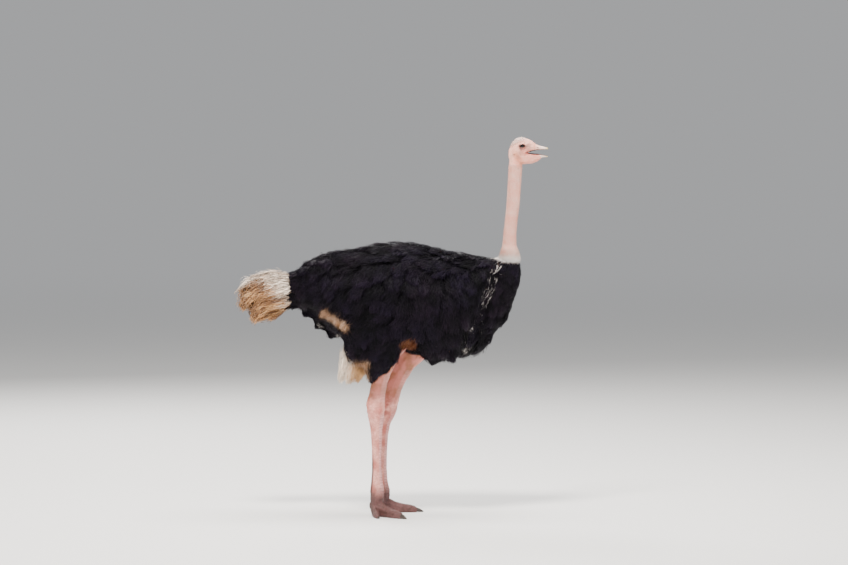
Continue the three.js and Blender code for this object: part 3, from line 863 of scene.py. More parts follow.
# Pebbled scales with dark seams between them.
def makeScales():
    group, given, out = newGroup("pebbleScales", [("Place", "Vector", None), ("Scale", "Float", 200.0)],
                                 [("Height", "Float"), ("Seam", "Float")])
    cells = add(group, "TexVoronoi", {"feature": "DISTANCE_TO_EDGE"},
                {"Vector": given.outputs["Place"], "Scale": given.outputs["Scale"]})
    distance = cells.outputs["Distance"]
    group.links.new(stepped(group, distance, 0.0, 0.28), out.inputs["Height"])
    group.links.new(stepped(group, distance, 0.10, 0.0), out.inputs["Seam"])
    return group


# Growth lines and scuffs of horn.
def makeHornGrain():
    group, given, out = newGroup("hornGrain", [("Place", "Vector", None), ("Scale", "Float", 200.0)],
                                 [("Height", "Float"), ("Streak", "Float")])
    stretch = add(group, "VectorMath", {"operation": "MULTIPLY"},
                  {0: given.outputs["Place"], 1: (0.16, 1.0, 1.0)})
    lines = noise(group, stretch.outputs[0], given.outputs["Scale"], 4.0)
    group.links.new(lines, out.inputs["Height"])
    group.links.new(stepped(group, lines, 0.38, 0.66), out.inputs["Streak"])
    return group


# The tone of one barb: its own shade, with painted shade towards the root, inside the coat, and a painted
# highlight towards the tip.
def makeBarbShadeAndHighlight():
    group, given, out = newGroup("barbShadeAndHighlight", [("Shade", "Float", 0.5), ("Along", "Float", 0.5)],
                                 [("ToneAndPaintedSheen", "Float"), ("Tip", "Float")])
    shade, along = given.outputs["Shade"], given.outputs["Along"]
    tip = stepped(group, along, 0.45, 1.05)
    group.links.new(tip, out.inputs["Tip"])
    tone = times(group, shade, plus(group, times(group, tip, 0.6), 0.4))
    group.links.new(tone, out.inputs["ToneAndPaintedSheen"])
    return group


groups = {
    "markings": makeMarkings(markPlan),
    "mottle": makeMottle(),
    "scales": makeScales(),
    "horn": makeHornGrain(),
    "barb": makeBarbShadeAndHighlight(),
}


def useGroup(tree, name, inputs):
    return add(tree, "Group", {"node_tree": groups[name]}, inputs).outputs


socketNames = {
    "roughness": "Roughness",
    "specular": "Specular IOR Level",
    "sheen": "Sheen Weight",
    "sheenRoughness": "Sheen Roughness",
    "sheenTint": "Sheen Tint",
    "subsurface": "Subsurface Weight",
    "subsurfaceRadius": "Subsurface Radius",
    "subsurfaceScale": "Subsurface Scale",
    "coat": "Coat Weight",
    "coatRoughness": "Coat Roughness",
}


def newMaterial(name, **constants):
    material = bpy.data.materials.new(name)
    material.use_nodes = True
    tree = material.node_tree
    shader = tree.nodes["Principled BSDF"]
    for key, value in constants.items():
        shader.inputs[socketNames[key]].default_value = value
    return material, tree, shader


# Roughness that follows a mask, from `low` where it is 0 to `high` where it is 1.
def roughBy(tree, shader, mask, low, high):
    rough = add(tree, "MapRange", None, {"Value": mask, "To Min": low, "To Max": high})
    tree.links.new(rough.outputs[0], shader.inputs["Roughness"])


def bumpBy(tree, shader, height, strength, distance):
    bump = add(tree, "Bump", None, {"Strength": strength, "Distance": distance, "Height": height})
    tree.links.new(bump.outputs[0], shader.inputs["Normal"])


def attribute(tree, name, output="Fac"):
    return add(tree, "Attribute", {"attribute_name": name}).outputs[output]


colours = {
    "neckPink": (0.88, 0.33, 0.24),
    "neckPale": (0.97, 0.50, 0.38),
    "facePink": (0.68, 0.19, 0.14),
    "faceShade": (0.060, 0.017, 0.019),
    # inside of the mouth and the nostril: dark red lining, with painted shade in these hollows
    "mouth": (0.040, 0.003, 0.003),
    "throatTan": (0.60, 0.22, 0.10),
    "legPink": (0.56, 0.19, 0.15),
    "legPale": (0.84, 0.42, 0.35),
    "legRed": (0.36, 0.085, 0.065),
    "legLilac": (0.72, 0.43, 0.43),
    "thighTan": (0.33, 0.12, 0.060),
    "footBrown": (0.080, 0.034, 0.027),
    "footPurple": (0.20, 0.085, 0.085),
    "footSeam": (0.035, 0.013, 0.011),
    "underBlack": (0.010, 0.009, 0.011),
    "plumeBlack": (0.0005, 0.0004, 0.0008),
    # painted sheen of the black plumage, laid into its colour
    "paintedPlumeSheen": (0.016, 0.0095, 0.027),
    "plumeBrown": (0.018, 0.008, 0.007),
    "plumeWhite": (1.0, 0.86, 0.72),
    "plumeTan": (0.42, 0.175, 0.055),
    "plumeStraw": (0.68, 0.385, 0.165),
    "plumeBuff": (0.30, 0.155, 0.075),
    "plumeCream": (0.66, 0.46, 0.33),
    # painted shadow between the pale strands
    "paintedGapShadow": (0.16, 0.075, 0.030),
    "plumeRust": (0.115, 0.034, 0.013),
    "downPink": (0.97, 0.48, 0.36),
    "downPale": (1.0, 0.80, 0.69),
    "collarWhite": (1.0, 0.93, 0.88),
    "bill": (0.90, 0.70, 0.60),
    "billTip": (0.62, 0.47, 0.22),
    "billDark": (0.55, 0.33, 0.26),
    "claw": (0.030, 0.021, 0.018),
    "clawPale": (0.085, 0.062, 0.052),
    "pupil": (0.002, 0.002, 0.002),
    "iris": (0.012, 0.005, 0.003),
    "irisPale": (0.050, 0.020, 0.009),
    "eyeWhite": (0.05, 0.025, 0.02),
    "eyeWhitePale": (0.12, 0.07, 0.06),
}


def makeSkinMaterial():
    material, tree, shader = newMaterial("birdSkin", roughness=0.55, specular=0.38, subsurface=0.12,
                                         subsurfaceRadius=(0.006, 0.0025, 0.0015), subsurfaceScale=1.0)
    place = add(tree, "TexCoord").outputs["Object"]
    marks = useGroup(tree, "markings", {"Place": place})
    mottle = useGroup(tree, "mottle", {"Place": place, "Scale": 14.0})
    close = useGroup(tree, "mottle", {"Place": place, "Scale": 70.0})
    scales = useGroup(tree, "scales", {"Place": place, "Scale": 230.0})
    pores = useGroup(tree, "scales", {"Place": place, "Scale": 900.0})
    seams = times(tree, scales["Seam"], times(tree, marks["Leg"], 0.6))
    neck = layered(tree, colours["neckPink"],
                   (mottle["Broad"], colours["neckPale"]),
                   (times(tree, close["Fine"], 0.18), colours["legRed"]),
                   (attribute(tree, "facePink"), colours["facePink"]),
                   (attribute(tree, "throatTan"), colours["throatTan"]),
                   (attribute(tree, "faceShade"), colours["faceShade"]),
                   # inside of the mouth: dark red lining, with painted shade
                   (attribute(tree, "mouthDepth"), colours["mouth"]))
    thigh = mixColour(tree, mottle["Broad"], colours["thighTan"], colours["legPink"])
    foot = layered(tree, colours["footBrown"],
                   (times(tree, close["Broad"], 0.5), colours["footPurple"]),
                   (times(tree, mottle["Broad"], 0.4), colours["footPurple"]),
                   (seams, colours["footSeam"]))
    leg = layered(tree, colours["legPink"],
                  (mottle["Broad"], colours["legPale"]),
                  (times(tree, close["Broad"], 0.35), colours["legRed"]),
                  (attribute(tree, "thigh"), thigh),
                  (seams, colours["legRed"]),
                  (times(tree, attribute(tree, "plate"), 0.45), colours["legLilac"]),
                  (marks["Foot"], foot),
                  # back of the lower shank: darker scaled skin, and painted shade on the side turned away
                  (attribute(tree, "rearScalesAndShade"), colours["footBrown"]),
                  (attribute(tree, "plateSeam"), colours["footSeam"]))
    level = add(tree, "SeparateXYZ", None, {0: place}).outputs["Z"]
    colour = layered(tree, colours["underBlack"],
                     (marks["Tan"], colours["plumeTan"]),
                     (marks["Rust"], colours["plumeRust"]),
                     (marks["Streak"], colours["neckPale"]),
                     (stepped(tree, level, *markPlan["bareThigh"]), leg),
                     (marks["Pale"], neck))
    tree.links.new(colour, shader.inputs["Base Color"])
    legHeight = times(tree, scales["Height"], marks["Leg"])
    height = plus(tree, legHeight, times(tree, pores["Height"], 0.25))
    bumpBy(tree, shader, plus(tree, height, times(tree, close["Fine"], 0.3)), 0.6, 0.0012)
    roughBy(tree, shader, close["Fine"], 0.46, 0.68)
    return material


# What the black and the pale plumage read from their strands.
def readStrands(tree, mottleScale):
    root = attribute(tree, "rootPlace", "Vector")
    shade = attribute(tree, "lockShade")
    tone = useGroup(tree, "barb", {"Shade": shade, "Along": attribute(tree, "plumeAlong")})
    return shade, tone, useGroup(tree, "mottle", {"Place": root, "Scale": mottleScale})


# Plumage: black with a cold sheen painted into its colour, broken by the pale, tan and rusty marks.
def makeBlackPlume():
    material, tree, shader = newMaterial("blackPlumage", roughness=0.5, specular=0.105, sheen=0.02,
                                         sheenRoughness=0.45, sheenTint=(0.62, 0.60, 0.78, 1))
    shade, tone, mottle = readStrands(tree, 5.0)
    tan = mixColour(tree, shade, colours["plumeBuff"], colours["plumeCream"])
    rust = mixColour(tree, times(tree, shade, 0.4), colours["plumeRust"], colours["plumeTan"])
    # painted sheen: the black lightens towards the cold sheen, and browns in broad patches, as the strand's
    # tone rises
    colour = layered(tree, colours["plumeBlack"],
                     (tone["ToneAndPaintedSheen"], colours["paintedPlumeSheen"]),
                     (times(tree, mottle["Broad"], times(tree, tone["ToneAndPaintedSheen"], 0.55)), colours["plumeBrown"]),
                     (attribute(tree, "tanLock"), tan),
                     (attribute(tree, "rustLock"), rust),
                     (attribute(tree, "streakLock"), colours["collarWhite"]))
    tree.links.new(colour, shader.inputs["Base Color"])
    roughBy(tree, shader, tone["ToneAndPaintedSheen"], 0.60, 0.36)
    return material


def makePalePlume():
    material, tree, shader = newMaterial("palePlumage", roughness=0.7, specular=0.25, sheen=0.15,
                                         sheenRoughness=0.5)
    shade, tone, mottle = readStrands(tree, 9.0)
    tan = mixColour(tree, shade, colours["plumeTan"], colours["plumeStraw"])
    share = plus(tree, attribute(tree, "tanLock"), times(tree, mottle["Fine"], 0.12))
    # painted shadow between strands: the strands of least shade darken towards the gap colour
    gap = stepped(tree, shade, 0.50, 0.05)
    colour = layered(tree, colours["plumeWhite"],
                     (math2(tree, "MINIMUM", share, 1.0), tan),
                     (times(tree, tone["Tip"], 0.06), colours["plumeBuff"]),
                     (times(tree, gap, 0.72), colours["paintedGapShadow"]))
    tree.links.new(colour, shader.inputs["Base Color"])
    return material


def makeDownMaterial():
    material, tree, shader = newMaterial("neckDown", roughness=0.75, specular=0.2, sheen=0.25,
                                         sheenRoughness=0.4)
    root = attribute(tree, "rootPlace", "Vector")
    shade = attribute(tree, "lockShade")
    mottle = useGroup(tree, "mottle", {"Place": root, "Scale": 20.0})
    marks = useGroup(tree, "markings", {"Place": root})
    level = add(tree, "SeparateXYZ", None, {0: root}).outputs["Z"]
    crown = stepped(tree, level, *markPlan["crownWhite"])
    pale = layered(tree, colours["downPink"],
                   (shade, colours["downPale"]),
                   (times(tree, mottle["Fine"], 0.2), colours["neckPink"]),
                   (times(tree, attribute(tree, "throatTan"), 0.8), colours["throatTan"]),
                   (attribute(tree, "faceShade"), colours["faceShade"]),
                   (stepped(tree, level, *markPlan["collarWhite"]), colours["collarWhite"]),
                   (times(tree, crown, 0.6), colours["collarWhite"]))
    # below the collar the down is black, in the colour of the painted sheen
    colour = mixColour(tree, marks["Pale"], colours["paintedPlumeSheen"], pale)
    tree.links.new(colour, shader.inputs["Base Color"])
    return material


def makeHornMaterial(name, pale, dark, scale, roughness):
    material, tree, shader = newMaterial(name, roughness=roughness, specular=0.5)
    place = add(tree, "TexCoord").outputs["Object"]
    grain = useGroup(tree, "horn", {"Place": place, "Scale": scale})
    mottle = useGroup(tree, "mottle", {"Place": place, "Scale": 60.0})
    colour = mixColour(tree, times(tree, grain["Streak"], 0.6), pale, dark)
    if name == "billHorn":
        colour = layered(tree, colour,
                         (attribute(tree, "billPink"), colours["neckPink"]),
                         (attribute(tree, "billTip"), colours["billTip"]),
                         # inside of the mouth and the nostril slit: dark red lining, with painted shade in
                         # these hollows
                         (attribute(tree, "mouthDepth"), colours["mouth"]),
                         (attribute(tree, "nostril"), colours["mouth"]))
    colour = mixColour(tree, times(tree, mottle["Fine"], 0.2), colour, dark)
    tree.links.new(colour, shader.inputs["Base Color"])
    bumpBy(tree, shader, grain["Height"], 0.35, 0.0006)
    roughBy(tree, shader, mottle["Fine"], roughness - 0.08, roughness + 0.12)
    return material


def makeEyeMaterial():
    material, tree, shader = newMaterial("eyeGloss", roughness=0.10, specular=0.28, coat=0.12,
                                         coatRoughness=0.03)
    place = add(tree, "TexCoord").outputs["Object"]
    radial = attribute(tree, "irisRadius")
    fibres = noise(tree, place, 900.0)
    iris = mixColour(tree, fibres, colours["iris"], colours["irisPale"])
    white = mixColour(tree, fibres, colours["eyeWhite"], colours["eyeWhitePale"])
    colour = layered(tree, colours["pupil"],
                     (stepped(tree, radial, 0.50, 0.55), iris),
                     (stepped(tree, radial, 0.86, 0.95), white))
    tree.links.new(colour, shader.inputs["Base Color"])
    return material


materials = {
    "skin": makeSkinMaterial(),
    "black": makeBlackPlume(),
    "pale": makePalePlume(),
    "down": makeDownMaterial(),
    "bill": makeHornMaterial("billHorn", colours["bill"], colours["billDark"], 260.0, 0.42),
    "claw": makeHornMaterial("clawHorn", colours["claw"], colours["clawPale"], 320.0, 0.4),
    "eye": makeEyeMaterial(),
}


def dressed(shape, material, slot, *replaced):
    shape.data.materials.clear()
    shape.data.materials.append(materials[material])
    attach(shape, "root")
    if replaced:
        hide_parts(*replaced)
    return shape


def writeFields(shape, fields):
    for name, values in fields.items():
        writeField(shape, name, values)


def writeField(shape, name, values):
    values = np.asarray(values, np.float32)
    kind = "FLOAT" if values.ndim == 1 else "FLOAT_VECTOR"
    field = shape.data.attributes.new(name, kind, "POINT")
    field.data.foreach_set("value" if values.ndim == 1 else "vector", values.ravel())


# Locks: closed, tapering strands with a three-sided section.
patchSize = 0.003  # of each strand on the unwrap


# One batch of strands, pointed at both ends. `centres` holds each strand's root, its ring centres and
# its tip, (strands, rings + 2, 3); `fieldsOf` gives fields for points from their strands' numbers.
def strandBatch(centres, normals, halfWidths, along, uvRegion, roots, shade, fieldsOf, flat=0.42):
    count, rings = centres.shape[0], centres.shape[1] - 2
    ahead = unit(centres[:, 2:] - centres[:, :-2])
    across = unit(np.cross(normals[:, None], ahead))
    up = np.cross(ahead, across)
    wide = across * halfWidths[..., None]
    thick = up * halfWidths[..., None] * flat
    middle = centres[:, 1:-1]
    ring = np.stack((middle + wide, middle + thick, middle - wide), axis=2).reshape(count, rings * 3, 3)
    points = np.concatenate((centres[:, :1], ring, centres[:, -1:]), axis=1).reshape(-1, 3)
    per = rings * 3 + 2
    template = []
    for j in range(3):
        a, b = 1 + j, 1 + (j + 1) % 3
        template.append((0, b, a))
        template += [(a + k, b + k, b + k + 3) for k in range(0, rings * 3 - 3, 3)]
        template += [(a + k, b + k + 3, a + k + 3) for k in range(0, rings * 3 - 3, 3)]
        template.append((a + rings * 3 - 3, b + rings * 3 - 3, per - 1))
    triangles = (np.array(template)[None] + np.arange(count)[:, None, None] * per).reshape(-1, 3)
    ringSpots = [(a, (k + 1) / (rings + 1)) for k in range(rings) for a in (1.0, 0.5, 0.0)]
    spots = np.array([(0.5, 0.0)] + ringSpots + [(0.5, 1.0)])
    uv = rollUv(roots, uvRegion)[:, None] + (spots[None] - 0.5) * patchSize
    ringOf = np.array([0] + [k + 1 for k in range(rings) for _ in range(3)] + [rings + 1])
    strandOf = np.repeat(np.arange(count), per)
    values = {"rootPlace": roots[strandOf], "lockShade": shade[strandOf],
              "plumeAlong": along[:, ringOf].ravel()}
    values.update(fieldsOf(points, strandOf))
    return points, triangles, uv.reshape(-1, 2), values


def makeLocks(name, batches):
    offsets = np.cumsum([0] + [len(batch[0]) for batch in batches])
    triangles = np.concatenate([batch[1] + offset for batch, offset in zip(batches, offsets)])
    mesh = meshFrom(name, np.concatenate([batch[0] for batch in batches]), triangles)
    uv = np.concatenate([batch[2] for batch in batches])
    layer = mesh.uv_layers.new(name="OFBake")
    layer.uv.foreach_set("vector", uv[triangles.ravel()].astype(np.float32).ravel())
    shape = linked(name, mesh)
    writeFields(shape, {field: np.concatenate([batch[3][field] for batch in batches])
                        for field in batches[0][3]})
    return shape


# Unwrap of the skin as two rolls, each a turn about its middle line and a run along it: the body's
# middle is a level and its run goes ahead, the neck's is a place ahead and its run goes up.
rollPlan = {
    "body": {"middle": 1.30, "start": -1.0, "length": 1.9},
    "neck": {"middle": 0.74, "start": 1.50, "length": 0.95},
    "margin": 0.01,
}


def rollUv(points, region):
    plan, margin = rollPlan[region], rollPlan["margin"]
    across, run = (points[:, 0], points[:, 2]) if region == "neck" else (points[:, 2], points[:, 0])
    turn = np.arctan2(points[:, 1], across - plan["middle"]) / (2 * math.pi) + 0.5
    share = np.clip((run - plan["start"]) / plan["length"], 0, 1)
    return margin + (1 - 2 * margin) * np.stack((turn, share), axis=1)


def bezier(curve, s):
    a, b, c = (curve[:, k][:, None, None] for k in range(3))
    s = s[..., None]
    return a * (1 - s) ** 2 + b * (2 * s * (1 - s)) + c * s ** 2


# Each plume is a soft vane along its quill, and barbs that leave it on both sides, sweep to the tip
# and droop.
def plumeStrands(curve, normal, width, plan, rng):
    count, barbs = len(curve), plan["barbs"]
    t = np.array((0.0, 0.5, 1.0))
    start = np.linspace(plan["bare"], 0.90, barbs)[None] + rng.uniform(-0.04, 0.04, (count, barbs))
    room = np.clip((1.05 - start) / plan["reach"], 0.30, 1.0)
    reach = plan["reach"] * room * rng.uniform(0.7, 1.15, (count, barbs))
    flip = np.where(np.arange(barbs) % 2, 1.0, -1.0)[None] * np.ones((count, 1))
    s = start[..., None] + reach[..., None] * t
    chord = unit(curve[:, 2] - curve[:, 0])
    aside = unit(np.cross(normal, chord))[:, None, None]
    swell = np.sin(math.pi * np.clip(start * 0.85 + 0.12, 0, 1))
    swell = swell * rng.uniform(0.15, 1.15, (count, barbs))
    spread = (flip * swell * width[:, None])[..., None] * (1 - (1 - t) ** 1.9)
    length = np.linalg.norm(curve[:, 2] - curve[:, 0], axis=1)[:, None, None]
    sag = plan["sag"] * length * (t ** 2) * rng.uniform(0.2, 1.3, (count, barbs, 1))
    loose = rng.normal(0, plan["loose"], (count, barbs, 1, 3)) * (t ** 1.5)[:, None]
    centres = bezier(curve, s) + aside * spread[..., None] + down * sag[..., None] + loose
    centres[:, :, 1] += rng.normal(0, plan["curl"], (count, barbs, 3))
    vaneT = np.array((0.02, 0.30, 0.58, 0.82, 1.0))[None] * np.ones((count, 1))
    vane = bezier(curve, vaneT[:, None])[:, 0] - normal[:, None] * plan["vaneDrop"]
    return centres.reshape(-1, 3, 3), s.reshape(-1, 3), vane, vaneT


def scattered(form, chosen, count, rng):
    corners = form["points"][form["triangles"][chosen]]
    sideways = np.cross(corners[:, 1] - corners[:, 0], corners[:, 2] - corners[:, 0])
    area = np.linalg.norm(sideways, axis=1) / 2
    tries = count * 5
    picked = rng.choice(len(area), tries, p=area / area.sum())
    a, b = rng.random((2, tries))
    fold = a + b > 1
    a, b = np.where(fold, 1 - a, a), np.where(fold, 1 - b, b)
    weights = np.stack((1 - a - b, a, b), axis=1)
    places = (corners[picked] * weights[..., None]).sum(axis=1)
    cornerNormals = form["normals"][form["triangles"][chosen][picked]]
    normals = unit((cornerNormals * weights[..., None]).sum(axis=1))
    gap = math.sqrt(area.sum() / count) * 0.80
    cells = np.floor(places / gap).astype(int)
    taken = {}
    kept = []
    for i, (cell, place) in enumerate(zip(cells.tolist(), places.tolist())):
        close = False
        for dx in (-1, 0, 1):
            for dy in (-1, 0, 1):
                for dz in (-1, 0, 1):
                    other = taken.get((cell[0] + dx, cell[1] + dy, cell[2] + dz))
                    if other and math.dist(other, place) < gap:
                        close = True
        if not close:
            taken[tuple(cell)] = place
            kept.append(i)
        if len(kept) == count:
            break
    return places[kept], normals[kept]


def formOf(shape, rounds):
    return {
        "points": pointsOf(shape),
        "triangles": trianglesOf(shape),
        "normals": unit(blurred(normalsOf(shape), edgesOf(shape), rounds)),
    }


def centresOf(form):
    return form["points"][form["triangles"]].mean(axis=1)


bodyForm = formOf(coatForm, 8)
bodyForm["bridge"] = formPlan["bridge"]
bodyForm["shell"] = shellRound(plumedNodes + ["tail"], formPlan["coatVoxel"], 2, bodyForm["bridge"])
skinTree = treeOf(skin)
nodeTrees = {name: treeOf(nodes[name]) for name in plumedNodes}
faceCentres = centresOf(bodyForm)
nodeDistance = np.stack([nearestOn(nodeTrees[name], faceCentres)[2] for name in plumedNodes], axis=1)
faceNode = np.argmin(nodeDistance, axis=1)
print("coat outline sorted by node")


# Soft eddies in the lie, so that no two plumes run quite alike.
def swirls(places, size, seed):
    return np.stack([softNoise(places, size, seed + k) for k in range(3)], axis=1)


# A direction laid flat on the surface, wholly or in part.
def laidFlat(lie, normals, share=1.0):
    return unit(lie - normals * np.sum(lie * normals, axis=1, keepdims=True) * share)


# The lie of the body feathers: back along the spine, drooping at the sides, with the neck in front.
def bodyLie(places, normals):
    x = places[:, 0]
    side = np.sign(places[:, 1])
    stations = (-0.65, -0.50, -0.30, 0.0, 0.25, 0.42, 0.58, 0.75)
    backward = np.interp(x, stations, (-1.30, -0.75, -0.52, -0.40, -0.12, 0.10, -0.12, -0.30))
    lie = np.stack((backward, side * 0.05, -np.ones_like(x)), axis=1)
    top = ramp(normals[:, 2], 0.30, 0.85) * (1 - ramp(x, 0.52, 0.66))
    overBack = np.stack((-np.ones_like(x), side * 0.30, np.full_like(x, -0.25)), axis=1)
    lie = mixed(unit(lie), unit(overBack), top[:, None])
    belly = ramp(-normals[:, 2], 0.45, 0.9)
    under = np.stack((-np.ones_like(x) * 0.7, side * 0.1, np.full_like(x, -0.5)), axis=1)
    lie = mixed(lie, unit(under), belly[:, None])
    return laidFlat(unit(lie + swirls(places, 0.11, 31) * 0.28), normals)


# Points that stray more than `reach` beyond the outline are brought back to that distance, as
# measured from the shell round it.
def heldNear(form, points, reach):
    surface, outward, distance = nearestOn(form["shell"], points)
    outside = np.sum((points - surface) * outward, axis=1) > 0
    stray = np.where(outside, distance, -distance) + form["bridge"]
    held = surface - outward * np.broadcast_to(form["bridge"] - reach, len(points))[:, None]
    return np.where((stray > reach)[:, None], held, points)


# Curves for plumes that lie on the outline at `places` and grow from the skin below. Plumes gather
# in clumps, like shingles: each clump rises to its tips, which stand over the start of the next.
def plumeCurves(form, chosen, places, normals, lieOf, plan, rng):
    count = len(places)
    clumps, clumpNormals = scattered(form, chosen, max(count // plan["clump"], 1), rng)
    near = np.argmin(np.linalg.norm(places[:, None] - clumps[None], axis=2), axis=1)
    clumpTurn = rng.normal(0, plan["yaw"], len(clumps))[:, None]
    clumpLie = lieOf(clumps, clumpNormals)
    clumpLie = unit(clumpLie * np.cos(clumpTurn) + np.cross(clumpNormals, clumpLie) * np.sin(clumpTurn))
    clumpTips = clumps + clumpLie * plan["length"] * 0.72 + clumpNormals * plan["lift"]
    turn = clumpTurn[near] + rng.normal(0, plan["yaw"] * 0.5, count)[:, None]
    lie = lieOf(places, normals)
    lie = unit(lie * np.cos(turn) + np.cross(normals, lie) * np.sin(turn))
    away = places - clumps[near]
    size = np.percentile(np.linalg.norm(away, axis=1), 85)
    forward = np.clip(np.sum(away * lie, axis=1) / size, -1, 1)
    rise = (0.35 + 0.65 * forward)[:, None] * plan["lobe"]
    length = plan["length"] * rng.uniform(0.8, 1.2, count)[:, None]
    lift = rng.uniform(-0.6, 1.0, count)[:, None] * plan["lift"]
    raised = normals * (lift + rise * 0.5 - 0.004)
    tips = places + lie * length * 0.6 + raised + down * plan["droop"] * length
    tips = mixed(tips, clumpTips[near], plan["gather"] * rng.uniform(0.4, 1.0, count)[:, None])
    tips = heldNear(form, tips, plan["proud"] * rng.random(count) ** 1.5)
    roots = nearestOn(skinTree, places - lie * length * 0.42 - normals * plan["depth"])[0]
    lump = softNoise(places, 0.07, 41)[:, None] * plan["lump"]
    control = places + normals * (plan["depth"] * 0.42 + lump + rise)
    # each clump has a tone of its own, with a painted highlight that grows towards its raised tips
    tone = rng.normal(0, 0.20, len(clumps))[near] + 0.26 * forward
    return np.stack((roots, control, tips), axis=1), tone


# Masks by place for what the markings colour on the feathers, with a shift of its own for each strand.
def tailTan(points, jitter):
    lower = 1 - ramp(points[:, 2] + 0.96 * points[:, 0] + jitter * 0.035, 0.60, 0.74)
    belowTop = points[:, 2] - 0.6 * points[:, 0] - 2.009 + jitter * 0.006
    return lower * (1 - ramp(belowTop, -0.026, -0.006))


def wingTan(points, jitter):
    return ramp(points[:, 0] + jitter * 0.02, -0.305, -0.235)


# The tips of the wing quills show below the black of the flank, tan in front and white behind.
def flankTan(points, jitter):
    below = 1 - ramp(points[:, 2] + jitter * 0.008, 0.962, 0.976)
    return below * (1 - ramp(points[:, 0] + jitter * 0.007, -0.166, -0.148))


def flankWhite(points, jitter):
    return flankTan(points, jitter) * (1 - ramp(points[:, 0] + jitter * 0.015, -0.290, -0.250))


def nearSegment(points, segment, jitter):
    start, end, half = segment
    start, end = np.array(start), np.array(end)
    flat = points[:, [0, 2]]
    along = end - start
    share = np.clip(((flat - start) @ along) / (along @ along), 0, 1)
    away = np.linalg.norm(flat - start - share[:, None] * along, axis=1)
    return 1 - ramp(away + jitter * half * 0.22, half * 0.75, half * 1.2)


def bodyTan(points, jitter):
    return nearSegment(points, markPlan["tan"], jitter)


# What the plumes of every region share, unless a region says otherwise. "half" is the half width of
# a barb and "vane" that of the vane below it; "stray" and "proud" say how far barbs stand out.
plumeBasics = {
    "barbs": 24, "bare": 0.16, "reach": 0.36, "sag": 0.05, "loose": 0.0045, "curl": 0.0024, "yaw": 0.26,
    "lift": 0.012, "lump": 0.004, "droop": 0.0, "depth": 0.030, "stray": 0.003, "half": 0.0013,
    "vaneDrop": 0.003, "vaneStray": 0.002, "clump": 9, "tone": 0.10,
}


def plumesOf(**own):
    return {**plumeBasics, **own}


plumePlans = {
    "wing": plumesOf(count=1480, length=0.130, width=0.024, yaw=0.30, lump=0.005, lobe=0.022,
                     depth=0.045, stray=0.004, proud=0.022, half=0.00125, vane=0.0060, gather=0.55,
                     tanOf=bodyTan),
    "flank": plumesOf(count=1050, length=0.115, width=0.016, bare=0.20, reach=0.32, sag=0.01, lump=0.005,
                      lobe=0.018, depth=0.04, proud=0.024, half=0.00125, vane=0.0056, gather=0.55,
                      tanOf=flankTan, whiteOf=flankWhite),
    "trunk": plumesOf(count=900, length=0.130, width=0.026, sag=0.04, curl=0.0026, yaw=0.32, lift=0.014,
                      lump=0.006, lobe=0.025, depth=0.045, stray=0.004, proud=0.034, vane=0.0062,
                      clump=11, gather=0.58, tanOf=bodyTan),
    "fringe": plumesOf(count=800, length=0.110, width=0.020, barbs=22, bare=0.12, sag=0.03, yaw=0.24,
                       lift=0.006, lump=0.003, lobe=0.008, stray=0.001, proud=0.016, vane=0.0095,
                       clump=10, gather=0.30, tanOf=bodyTan),
    "coverts": plumesOf(count=230, length=0.12, width=0.018, barbs=20, reach=0.40, sag=0.02, yaw=0.22,
                        lump=0.003, lobe=0.014, stray=0.008, proud=0.016, vane=0.0060, clump=8,
                        gather=0.35),
    "breast": plumesOf(count=1250, length=0.085, width=0.017, barbs=20, sag=0.03, loose=0.0030,
                       curl=0.0018, lift=0.008, lobe=0.011, droop=0.02, depth=0.020, proud=0.011,
                       half=0.0011, vane=0.0046, vaneDrop=0.002, gather=0.50),
    "tail": plumesOf(count=760, length=0.20, width=0.012, barbs=16, bare=0.22, reach=0.40, loose=0.0070,
                     curl=0.0045, lift=0.010, lobe=0.008, droop=0.02, depth=0.035, proud=0.052,
                     half=0.0019, vane=0.0026, vaneDrop=0.0, clump=6, gather=0.45, tanOf=tailTan),
    # the quills' high tone is painted light: it lifts them out of the shade under the body
    "quill": plumesOf(count=280, length=0.16, width=0.013, barbs=20, bare=0.20, loose=0.0040,
                      curl=0.0022, yaw=0.16, lift=0.006, lobe=0.006, droop=0.02, depth=0.02,
                      proud=0.036, half=0.0012, vane=0.0036, vaneDrop=0.0, clump=14, gather=0.5,
                      tone=0.75, tanOf=wingTan),
}
quickShare = 1


# Fields that the plumage materials read: jitter and pick are one draw for each strand.
def markFields(plan, material, rng):
    def fieldsOf(points, strandOf):
        jitter = rng.normal(0, 1, strandOf[-1] + 1)[strandOf]
        pick = rng.random(strandOf[-1] + 1)[strandOf]
        if material == "down":
            shade, throat, _ = faceMarks(points)
            return {"faceShade": shade, "throatTan": throat}
        tanOf = plan.get("tanOf", lambda points, jitter: np.zeros(len(points)))
        fields = {"tanLock": tanOf(points, jitter)}
        if material == "black":
            onSide = np.abs(points[:, 1]) > markPlan["rustSide"]
            fields["rustLock"] = nearSegment(points, markPlan["rust"], jitter) * onSide
            pale = plan["whiteOf"](points, jitter) if "whiteOf" in plan else np.zeros(len(points))
            for start, end, half, share in markPlan["streaks"]:
                pale = np.maximum(pale, nearSegment(points, (start, end, half), jitter) * (pick < share))
            for tip in (markPlan["breastTip"], *markPlan["rearTips"]):
                pale = np.maximum(pale, nearSegment(points, tip, jitter) * (pick < markPlan["tipShare"]))
            fields["streakLock"] = pale
        return fields
    return fieldsOf


